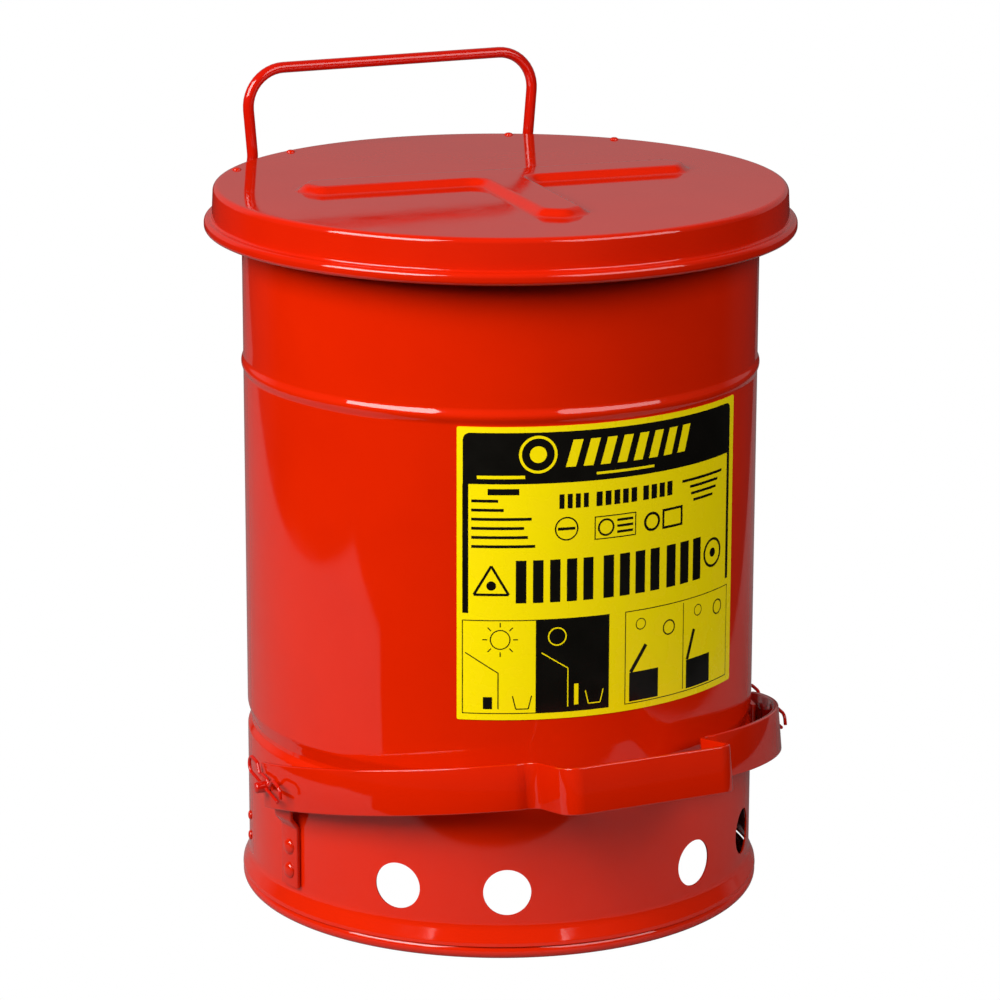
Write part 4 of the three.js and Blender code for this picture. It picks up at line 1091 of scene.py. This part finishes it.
@dataclass
class LidPan(SubAssembly):
    """The pressed lid: flat top with a raised T-shaped rib, rounded shoulder, skirt and rolled edge."""

    top: float = 406.0
    sheet: float = 0.9
    radius: float = 160.7
    shoulder: float = 3.1
    bottom: float = 381.3
    roll_out: float = 166.0
    roll_top: float = 387.9
    rib_height: float = 4.0
    rib_slope: float = 6.0
    rib_half: float = 10.0
    bar_half: float = 111.0
    setback: float = 8.5
    reach: float = 105.0
    fillet: float = 12.0
    turn: float = -6.0
    segments: int = 420
    strap_inside: float = 149.8 - 0.001
    strap_rivet_angles: tuple[float, ...] = (27.0, 51.0)

    def rib_outline(self) -> np.ndarray:
        """Returns the flat crest of the rib as a closed outline on the lid's top."""
        half, near, far = self.rib_half, self.setback - self.rib_half, self.setback + self.rib_half
        tip = half * 0.6
        corners = [Corner((0.0, far)), Corner((-self.bar_half + tip, far), 4.0),
            Corner((-self.bar_half, self.setback), 6.0), Corner((-self.bar_half + tip, near), 4.0),
            Corner((-half, near), self.fillet), Corner((-half, -self.reach + tip), 4.0),
            Corner((0.0, -self.reach), 6.0), Corner((half, -self.reach + tip), 4.0),
            Corner((half, near), self.fillet), Corner((self.bar_half - tip, near), 4.0),
            Corner((self.bar_half, self.setback), 6.0), Corner((self.bar_half - tip, far), 4.0),
            Corner((0.0, far))]
        turn = Matrix.Rotation(math.radians(self.turn), 3, "Z")
        return np.array([(turn @ point)[:2] for point in bent(corners, 6)[:-1]])

    def rise(self, places: np.ndarray) -> np.ndarray:
        """Returns how far the pressing lifts the sheet at (x, y) places in mm.

        Args:
            places: The places, one to a row.

        Returns:
            The lift in mm at each place.
        """
        outline = self.rib_outline()
        ends = np.roll(outline, -1, axis=0)
        best = np.full(len(places), 1e9)
        inside = np.zeros(len(places), bool)
        for (ax, ay), (bx, by) in zip(outline, ends):
            px, py = places[:, 0] - ax, places[:, 1] - ay
            ex, ey = bx - ax, by - ay
            along = np.clip((px * ex + py * ey) / max(ex * ex + ey * ey, 1e-9), 0, 1)
            best = np.minimum(best, np.hypot(px - along * ex, py - along * ey))
            if ay != by:
                crosses = (ay > places[:, 1]) != (by > places[:, 1])
                inside ^= crosses & (places[:, 0] < ex * (places[:, 1] - ay) / ey + ax)
        share = np.clip(1 - np.where(inside, 0.0, best) / self.rib_slope, 0, 1)
        return self.rib_height * share * share * (3 - 2 * share)

    def edge(self) -> list[Point]:
        """Returns the section from the top's edge down the skirt, round the roll and up inside."""
        skirt_foot = self.radius + 0.9
        corners = [Corner((self.radius - self.shoulder - 0.5, self.top)),
            Corner((self.radius, self.top), self.shoulder), Corner((skirt_foot, self.roll_top + 0.4), 1.4),
            Corner((self.roll_out, self.roll_top), 2.6), Corner((self.roll_out, self.bottom), 2.7),
            Corner((skirt_foot - self.sheet, self.bottom), 1.0),
            Corner((skirt_foot - self.sheet, self.roll_top)),
            Corner((self.radius - self.sheet, self.top - self.sheet), 2.2),
            Corner((self.radius - self.shoulder - 0.5, self.top - self.sheet))]
        return [(p.x, p.y) for p in bent(corners, 8)]

    def pan(self) -> bpy.types.Object:
        """Makes the whole pan as one closed sheet."""
        rim = self.radius - self.shoulder - 0.5
        upper = [(r, self.top) for r in np.linspace(0, rim, 108)[:-1]]
        lower = [(r, self.top - self.sheet) for r in np.linspace(rim, 0, 42)[1:]]
        piece = turned("pressed_lid", upper + self.edge() + lower, self.segments, crease=50.0)
        mesh = piece.data
        places = np.empty(len(mesh.vertices) * 3, np.float32)
        mesh.vertices.foreach_get("co", places)
        places = places.reshape(-1, 3)
        flat = places[:, 2] > (self.top - self.sheet - 0.01) * MM
        flat &= np.hypot(places[:, 0], places[:, 1]) < rim * MM
        places[flat, 2] += (self.rise(places[flat, :2] / MM) * MM).astype(np.float32)
        mesh.vertices.foreach_set("co", places.ravel())
        mesh.update()
        smooth(mesh, 50.0)
        return piece

    def dress(self) -> None:
        """Makes the lid, its strap and rivets and fixes them to the lid."""
        fit(self.pan(), Body.LID, self.finishes.lid, ["lid_pan"])
        fit(refined("lid_stiffener", ["lid_strap"], bevel=0.3), Body.LID, self.finishes.forged,
            ["lid_strap"])
        spots = []
        middle = (self.strap_inside + self.radius - self.sheet) / 2 - 0.6
        for angle in self.strap_rivet_angles:
            for place in (180 - angle, 180 + angle):
                spots.append((round_the_can(place, middle, self.top), UP, 0.55))
        small = RivetShape(reach=4.2)
        stands_for = [f"lid_rivet_{i}" for i in (1, 2, 3, 4)]
        fit(self.shop.rivet_rows("lid_rim_rivets", spots, small, seed=11), Body.LID, self.finishes.forged,
            stands_for)


@dataclass
class Hinge(SubAssembly):
    """The rear hinge: folded bracket on the can, leaf with its lug on the lid, and the rivets of both."""

    leaf_half: float = 12.0
    leaf_face: float = 163.9
    leaf_rivet_height: float = 397.0
    plate_face: float = 147.3
    plate_top: float = 349.8
    plate_tall: float = 28.0

    def dress(self) -> None:
        """Makes the hinge's pieces and fixes each to its body."""
        fit(refined("folded_hinge_bracket", ["hinge_bracket"]), Body.CAN, self.finishes.forged,
            ["hinge_bracket"])
        fit(refined("hinge_leaf_and_lug", ["hinge_leaf"]), Body.LID, self.finishes.forged, ["hinge_leaf"])
        heights = (self.plate_top - self.plate_tall + 8, self.plate_top - 8)
        spots = [(Vector((0, self.plate_face, z)), BACK, 0.9) for z in heights]
        bracket_rivets = self.shop.rivet_rows("hinge_bracket_rivets", spots, RivetShape(reach=3.4), seed=3)
        fit(bracket_rivets, Body.CAN, self.finishes.forged, ["hinge_rivet_1", "hinge_rivet_2"])
        spots = [(Vector((sign * self.leaf_half * 0.56, self.leaf_face, self.leaf_rivet_height)), BACK, 0.7)
            for sign in (-1, 1)]
        leaf_rivets = self.shop.rivet_rows("hinge_leaf_rivets", spots, RivetShape(reach=4.6), seed=5)
        fit(leaf_rivets, Body.LID, self.finishes.forged, ["leaf_rivet_left", "leaf_rivet_right"])


@dataclass
class CarryHandle(SubAssembly):
    """One bent rod that is the hinge pin at its ends and the carrying handle behind the lid."""

    rod: float = 3.2
    axis_back: float = 176.0
    axis_height: float = 375.8
    back: float = 150.0
    foot_half: float = 88.5
    top_half: float = 93.0
    foot_height: float = 400.0
    top: float = 453.5

    def dress(self) -> None:
        """Bends the rod and fixes it to the handle body."""
        right = [Corner((0.5, self.axis_back, self.axis_height)),
            Corner((self.foot_half, self.axis_back, self.axis_height), 8.0),
            Corner((self.foot_half, self.back, self.foot_height), 12.0),
            Corner((self.top_half, self.back, self.top), 22.0)]
        left = [Corner((-c.at[0], *c.at[1:]), c.bend) for c in reversed(right)]
        rod = self.shop.bar("bent_rod_handle", bent([*right, *left], 12), self.rod, sides=32)
        fit(rod, Body.HANDLE, self.finishes.rod, ["carry_handle"])


@dataclass
class FootLever(SubAssembly):
    """The foot lever: a flat strap bent round the front of the can, tilted down to its square toe."""

    tilt: float = 10.8
    thickness: float = 3.0
    tall: float = 25.4
    edge: float = 0.7
    arc: float = 156.5
    arc_back: float = -9.0
    tail: float = 8.0
    toe_half: float = 50.0
    toe_reach: float = 197.0
    toe_corner: float = 9.0
    root_corner: float = 9.0
    pin: float = 3.5

    @property
    def pivot_side(self) -> float:
        """Half the distance between the two eyes."""
        return math.sqrt(self.arc**2 - (PIVOT_BACK - self.arc_back) ** 2)

    def plan(self) -> list[Vector]:
        """Returns the strap's middle line from above, with the pivot as origin."""
        centre = self.arc_back - PIVOT_BACK
        toe = -(self.toe_reach + PIVOT_BACK) + self.thickness / 2
        root_angle = math.asin(self.toe_half / self.arc)
        start = -math.pi / 2
        half = [Vector((-self.pivot_side, self.tail, 0))]
        for turn in np.linspace(start, -root_angle * 1.2, 60):
            y = centre - self.arc * math.cos(turn)
            if y < 0:
                half.append(Vector((self.arc * math.sin(turn), y, 0)))
        root = centre - self.arc * math.cos(root_angle) - 5
        half += self._bend(-self.toe_half - self.root_corner, root, self.root_corner, 0.42 * math.pi, 0.0)
        corner_x, corner_y = -self.toe_half + self.toe_corner, toe + self.toe_corner
        half += self._bend(corner_x, corner_y, self.toe_corner, math.pi, 1.5 * math.pi)
        return half + [Vector((-p.x, p.y, 0)) for p in reversed(half)]

    @staticmethod
    def _bend(x: float, y: float, radius: float, begin: float, end: float) -> list[Vector]:
        """Returns one round bend of the plan."""
        return [Vector((x + radius * math.cos(t), y + radius * math.sin(t), 0))
            for t in np.linspace(begin, end, 9)]

    def dress(self) -> None:
        """Bends the strap, drills its eyes and fixes it to the pedal."""
        place = Matrix.Translation((0, PIVOT_BACK, PIVOT_HEIGHT))
        place = place @ Matrix.Rotation(-math.radians(self.tilt), 4, "X")
        strap = self.shop.bend_strap("foot_lever_strap", self.plan(), self.thickness, self.tall, self.edge,
            place)
        eyes = [(Vector((side.value * self.pivot_side, PIVOT_BACK, PIVOT_HEIGHT)), Vector((1, 0, 0)),
            self.pin) for side in Side]
        strap = self.shop.pierce(strap, eyes)
        fit(strap, Body.PEDAL, self.finishes.forged, ["foot_lever"])


@dataclass
class Yoke(SubAssembly):
    """The yoke: one bent rod that is both pivot pins and the fork under the raised bottom, with its clips."""

    rod: float = 3.2
    pin_end: float = 164.57
    side: float = 119.0
    knee_back: float = 105.0
    nose_back: float = 159.0
    nose_half: float = 5.0
    drop: float = 8.0
    clip_out: float = 158.97
    clip_turn: float = 9.0
    clip_size: float = 1.25
    clip_wire: float = 1.0

    def _height(self, back: float) -> float:
        """Height of the fork's middle line at a distance back."""
        return PIVOT_HEIGHT - (back - PIVOT_BACK) * math.tan(math.radians(self.drop))

    def _half_line(self) -> list[Corner]:
        """The right half, from the nose to the pin."""
        return [Corner((self.nose_half, self.nose_back, self._height(self.nose_back)),
            self.nose_half - 0.1), Corner((self.nose_half, self.knee_back, self._height(self.knee_back)),
            25.0), Corner((self.side, PIVOT_BACK, PIVOT_HEIGHT), 10.0),
            Corner((self.pin_end, PIVOT_BACK, PIVOT_HEIGHT))]

    def clip_line(self, side: Side) -> list[Vector]:
        """Returns the bow-tie clip: a straight leg through the pin and a sprung leg that arches over it.

        Args:
            side: The can's side that it is on.

        Returns:
            The wire's middle line in mm.
        """
        turn = math.radians(self.clip_turn)
        along, across = Vector((0, math.cos(turn), math.sin(turn))), Vector((0, -math.sin(turn),
            math.cos(turn)))
        pin = Vector((side.value * self.clip_out, PIVOT_BACK, PIVOT_HEIGHT))
        shape = (
            (-16, 0, 0), (18, 0, 3.6), (18, 7.6, 3.6), (9, 7.6, 3.0), (4.5, 2.5, 1.6), (3.5, 4.9, 1.5),
            (-3.5, 4.9, 1.5), (-5.5, 2.2, 1.6), (-9, 7.5, 3.0), (-17, 7.5, 3.4), (-19, 2.8, 0),
        )  # fmt: skip
        size = self.clip_size
        return bent([Corner(tuple(pin + (along * a + across * b) * size), r * size) for a, b, r in shape],
            8)

    def dress(self) -> None:
        """Bends the yoke and the clips and fixes them to the pedal."""
        right = self._half_line()
        left = [Corner((-c.at[0], *c.at[1:]), c.bend) for c in right]
        rod = self.shop.bar("yoke_and_pins", bent([*reversed(left), *right], 12), self.rod, sides=32)
        fit(rod, Body.PEDAL, self.finishes.rod, ["yoke_rod"])
        for side in Side:
            clip = self.shop.bar(f"bow_tie_clip_{side.word}", self.clip_line(side), self.clip_wire,
                sides=16)
            fit(clip, Body.PEDAL, self.finishes.rod, [f"clip_pin_{side.word}"])
            washer = refined(f"pivot_washer_{side.word}", [f"washer_{side.word}"], bevel=0.25)
            fit(washer, Body.PEDAL, self.finishes.forged, [f"washer_{side.word}"])


@dataclass
class PivotBrackets(SubAssembly):
    """The two joggled straps riveted to the skirt that carry the pivot pins."""

    radius: float = 145.3
    thickness: float = 2.5
    width: float = 15.0
    edge: float = 0.6
    low: float = 22.0
    high: float = 91.5
    joggle: float = 61.0
    joggle_out: float = 4.5
    rivet_heights: tuple[float, ...] = (31.0, 45.0)
    pin: float = 3.5

    @property
    def azimuth(self) -> float:
        """Angle round the can of each bracket."""
        return 90.0 - math.degrees(math.asin(-PIVOT_BACK / BODY_RADIUS))

    def dress(self) -> None:
        """Bends, drills and rivets both brackets to the can."""
        middle = self.thickness / 2
        side_view = [Corner((middle, self.low)), Corner((middle, self.joggle - 3.6), 3.0),
            Corner((middle + self.joggle_out, self.joggle + 2.2), 3.0),
            Corner((middle + self.joggle_out, self.high))]
        for side in Side:
            angle = side.value * self.azimuth
            out = round_the_can(angle, 1.0, 0.0)
            turn = Matrix((out, UP, out.cross(UP))).transposed().to_4x4()
            place = Matrix.Translation(round_the_can(angle, self.radius, 0.0)) @ turn
            name = f"joggled_bracket_{side.word}"
            strap = self.shop.bend_strap(name, bent(side_view, 8), self.thickness, self.width, self.edge,
                place)
            pin = Vector((side.value * (self.radius + self.joggle_out), PIVOT_BACK, PIVOT_HEIGHT))
            strap = self.shop.pierce(strap, [(pin, Vector((1, 0, 0)), self.pin)], stroke=20.0)
            fit(strap, Body.CAN, self.finishes.forged, [f"pivot_bracket_{side.word}"])
            spots = [(round_the_can(angle, self.radius + self.thickness, z), out, 1.0)
                for z in self.rivet_heights]
            rivets = self.shop.rivet_rows(f"bracket_rivets_{side.word}", spots, RivetShape(reach=4.4),
                seed=side.value + 2)
            stands_for = [f"bracket_rivet_{side.word}_{i}" for i in (1, 2)]
            fit(rivets, Body.CAN, self.finishes.forged, stands_for)


@dataclass
class LiftRod(SubAssembly):
    """The lift rod behind the can, its foot, its two guides, and the skirt's two small rivets."""

    rod: float = 3.0
    back: float = 154.0
    low: float = 63.7
    high: float = 358.0
    bore: float = 3.4
    strip: float = 2.0
    strip_tall: float = 14.0
    strip_half: float = 18.0
    wall: float = 145.3
    heights: tuple[float, ...] = (130.0, 280.0)
    skirt_rivet_angle: float = -106.0
    skirt_rivet_heights: tuple[float, ...] = (28.5, 40.5)

    def guide(self, number: int, height: float) -> bpy.types.Object:
        """Bends one guide over the rod.

        Args:
            number: Which guide, from the bottom.
            height: Its middle in mm.

        Returns:
            The guide.
        """
        middle = self.wall + self.strip / 2
        across = self.bore + self.strip / 2
        left = [Corner((-self.strip_half, middle)), Corner((-across, middle), 1.2),
            Corner((-across, self.back + across), across - 0.01)]
        right = [Corner((-c.at[0], c.at[1]), c.bend) for c in reversed(left)]
        place = Matrix.Translation((0, 0, height))
        line = bent([*left, *right], 10)
        return self.shop.bend_strap(f"omega_guide_{number}", line, self.strip, self.strip_tall, 0.4, place)

    def dress(self) -> None:
        """Makes the rod, its foot and the guides and fixes each to its body."""
        line = [Vector((0, self.back, z)) for z in (self.low, (self.low + self.high) / 2, self.high)]
        fit(self.shop.bar("lift_push_rod", line, self.rod), Body.LIFT, self.finishes.rod, ["lift_rod"])
        fit(refined("lift_rod_foot", ["lift_foot"], bevel=0.5), Body.LIFT, self.finishes.forged,
            ["lift_foot"])
        for number, height in enumerate(self.heights, 1):
            fit(self.guide(number, height), Body.CAN, self.finishes.forged, [f"rod_guide_{number}"])
            spots = [(Vector((side.value * (self.strip_half - 5.5), self.wall + self.strip, height)), BACK,
                0.7) for side in Side]
            rivets = self.shop.rivet_rows(f"guide_rivets_{number}", spots, RivetShape(reach=5.5),
                seed=20 + number)
            stands_for = [f"guide_rivet_{number}_{side.word}" for side in Side]
            fit(rivets, Body.CAN, self.finishes.forged, stands_for)
        out = round_the_can(self.skirt_rivet_angle, 1.0, 0.0)
        spots = [(round_the_can(self.skirt_rivet_angle, BODY_RADIUS + 0.1, z), out, 0.6)
            for z in self.skirt_rivet_heights]
        seam_rivets = self.shop.rivet_rows("seam_rivets", spots, RivetShape(reach=2.4), seed=31)
        fit(seam_rivets, Body.CAN, self.finishes.forged, ["seam_rivet_1", "seam_rivet_2"])


# ---------- studio ----------
@dataclass
class Studio:
    """The plain studio: a white table, a white surround, two soft lights and the camera.

    The can's shine shows the table round it, so the table is only as wide as a real one. Everything past
    it is white to the camera but dark to the can. Angles are from the camera towards its right.
    """

    distance: float = 2.3048
    eye: float = 0.8343
    pitch: float = 14.873
    roll: float = 0.149
    front: float = 25.3
    lens: float = 150.59
    sensor: float = 36.0
    table: tuple[Point, ...] = (
        (-0.78, -0.40), (-0.54, -0.46), (-0.31, -0.31), (0.30, -0.34), (0.47, -0.36),
        (0.66, 1.7), (-1.0, 1.7),
    )  # fmt: skip

    def _place(self, turn: float, rise: float, away: float) -> Vector:
        """Returns a point at an angle, a height angle and a distance from the can, in metres.

        Args:
            turn: Angle from the camera towards its right, in degrees.
            rise: Angle over the horizon in degrees.
            away: Distance in metres.

        Returns:
            The point, from the can's axis at floor level.
        """
        around, up = math.radians(turn - self.front), math.radians(rise)
        way = Vector((math.sin(around) * math.cos(up), -math.cos(around) * math.cos(up), math.sin(up)))
        return way * away

    def camera(self) -> None:
        """Sets up the camera and makes it the scene's."""
        data = bpy.data.cameras.new("studio_camera")
        data.lens = self.lens
        data.sensor_width = self.sensor
        data.clip_end = 100.0
        camera = bpy.data.objects.new("studio_camera", data)
        bpy.context.scene.collection.objects.link(camera)
        place = Matrix.Translation(CAN_AXIS + self._place(0, 0, self.distance) + Vector((0, 0, self.eye)))
        turn = math.radians(self.front)
        aim = Matrix.Rotation(-turn, 4, "Z") @ Matrix.Rotation(math.radians(90 - self.pitch), 4, "X")
        camera.matrix_world = place @ aim @ Matrix.Rotation(math.radians(self.roll), 4, "Z")
        bpy.context.scene.camera = camera

    def ground(self) -> None:
        """Lays the white table top."""
        mesh = bpy.data.meshes.new("studio_table")
        mesh.from_pydata([(across, back, 0) for across, back in self.table], [], [range(len(self.table))])
        mesh.transform(Matrix.Translation(CAN_AXIS) @ Matrix.Rotation(math.radians(-self.front), 4, "Z"))
        table = show("studio_table", mesh)
        paint = bpy.data.materials.new("white_table_top")
        tree = cleared(paint)
        shade = add_node(tree, "ShaderNodeBsdfDiffuse", {"Color": linear("#989898")})
        white = add_node(tree, "ShaderNodeEmission", {"Color": (1, 1, 1, 1), "Strength": 1.0})
        seen = add_node(tree, "ShaderNodeLightPath").outputs["Is Camera Ray"]
        both = add_node(tree, "ShaderNodeMixShader", {0: seen, 1: shade.outputs[0], 2: white.outputs[0]})
        add_node(tree, "ShaderNodeOutputMaterial", {"Surface": both.outputs[0]})
        mesh.materials.append(paint)

    def surround(self) -> None:
        """Makes the surround: white to the camera, and to the can a cloth behind and a dim room in front."""
        world = bpy.data.worlds.new("studio_surround")
        bpy.context.scene.world = world
        tree = cleared(world)
        way = add_node(tree, "ShaderNodeTexCoord").outputs["Generated"]
        behind = self._place(180, 0, 1.0)
        facing = add_node(tree, "ShaderNodeVectorMath", {0: way, 1: behind}, operation="DOT_PRODUCT")
        # The cloth behind the can spans about 60 degrees either way and reaches down to the table.
        cloth = add_node(tree, "ShaderNodeMapRange",
            {"Value": facing.outputs["Value"], 1: math.cos(math.radians(66)), 2: math.cos(math.radians(54)),
            3: 0.04, 4: 0.25})
        height = add_node(tree, "ShaderNodeSeparateXYZ", {"Vector": way}).outputs["Z"]
        raised = add_node(tree, "ShaderNodeMapRange", {"Value": height, 1: -0.03, 2: 0.0, 3: 0.1, 4: 1.0})
        lit = add_node(tree, "ShaderNodeMath", {0: cloth.outputs["Result"], 1: raised.outputs["Result"]},
            operation="MULTIPLY")
        seen = add_node(tree, "ShaderNodeLightPath").outputs["Is Camera Ray"]
        strength = add_node(tree, "ShaderNodeMix", {0: seen, 2: lit.outputs[0], 3: 1.0}, data_type="FLOAT")
        glow = add_node(tree, "ShaderNodeBackground",
            {"Color": (1, 1, 1, 1), "Strength": strength.outputs[0]})
        add_node(tree, "ShaderNodeOutputWorld", {"Surface": glow.outputs[0]})

    def softbox(self, name: str, turn: float, rise: float, away: float, size: Point, power: float) -> None:
        """Hangs a soft light that faces the can.

        Args:
            name: Name of the light.
            turn: Angle from the camera towards its right, in degrees round the can.
            rise: Height above the horizon in degrees.
            away: Distance in metres.
            size: Width and height in metres.
            power: Power in watts.
        """
        data = bpy.data.lights.new(name, "AREA")
        data.shape = "RECTANGLE"
        data.size, data.size_y = size
        data.energy = power
        light = bpy.data.objects.new(name, data)
        bpy.context.scene.collection.objects.link(light)
        way = self._place(turn, rise, away)
        middle = CAN_AXIS + Vector((0, 0, 0.22))
        light.matrix_world = (
            Matrix.Translation(middle + way) @ way.to_track_quat("Z", "Y").to_matrix().to_4x4()
        )

    def build(self) -> None:
        """Sets up the whole studio."""
        bpy.context.scene.view_settings.view_transform = "Standard"
        self.camera()
        self.ground()
        self.surround()
        self.softbox("key_left", -49, 33, 2.2, (1.6, 1.2), 66)
        self.softbox("fill_right", 50, 33, 2.2, (1.8, 1.2), 27)


def main() -> None:
    """Builds every sub-assembly in order and reports its pieces."""
    logging.basicConfig(level=logging.INFO, format="%(name)s %(message)s")
    Studio().build()
    finishes = Finishes.mixed()
    shop = Workshop()
    kinds: tuple[type[SubAssembly], ...] = (
        CanBody, Label, LidPan, Hinge, CarryHandle, FootLever, Yoke, PivotBrackets, LiftRod,
    )  # fmt: skip
    for kind in kinds:
        LOG.info("making %s", kind.__name__)
        kind(shop, finishes).dress()


if __name__ == "__main__":
    main()
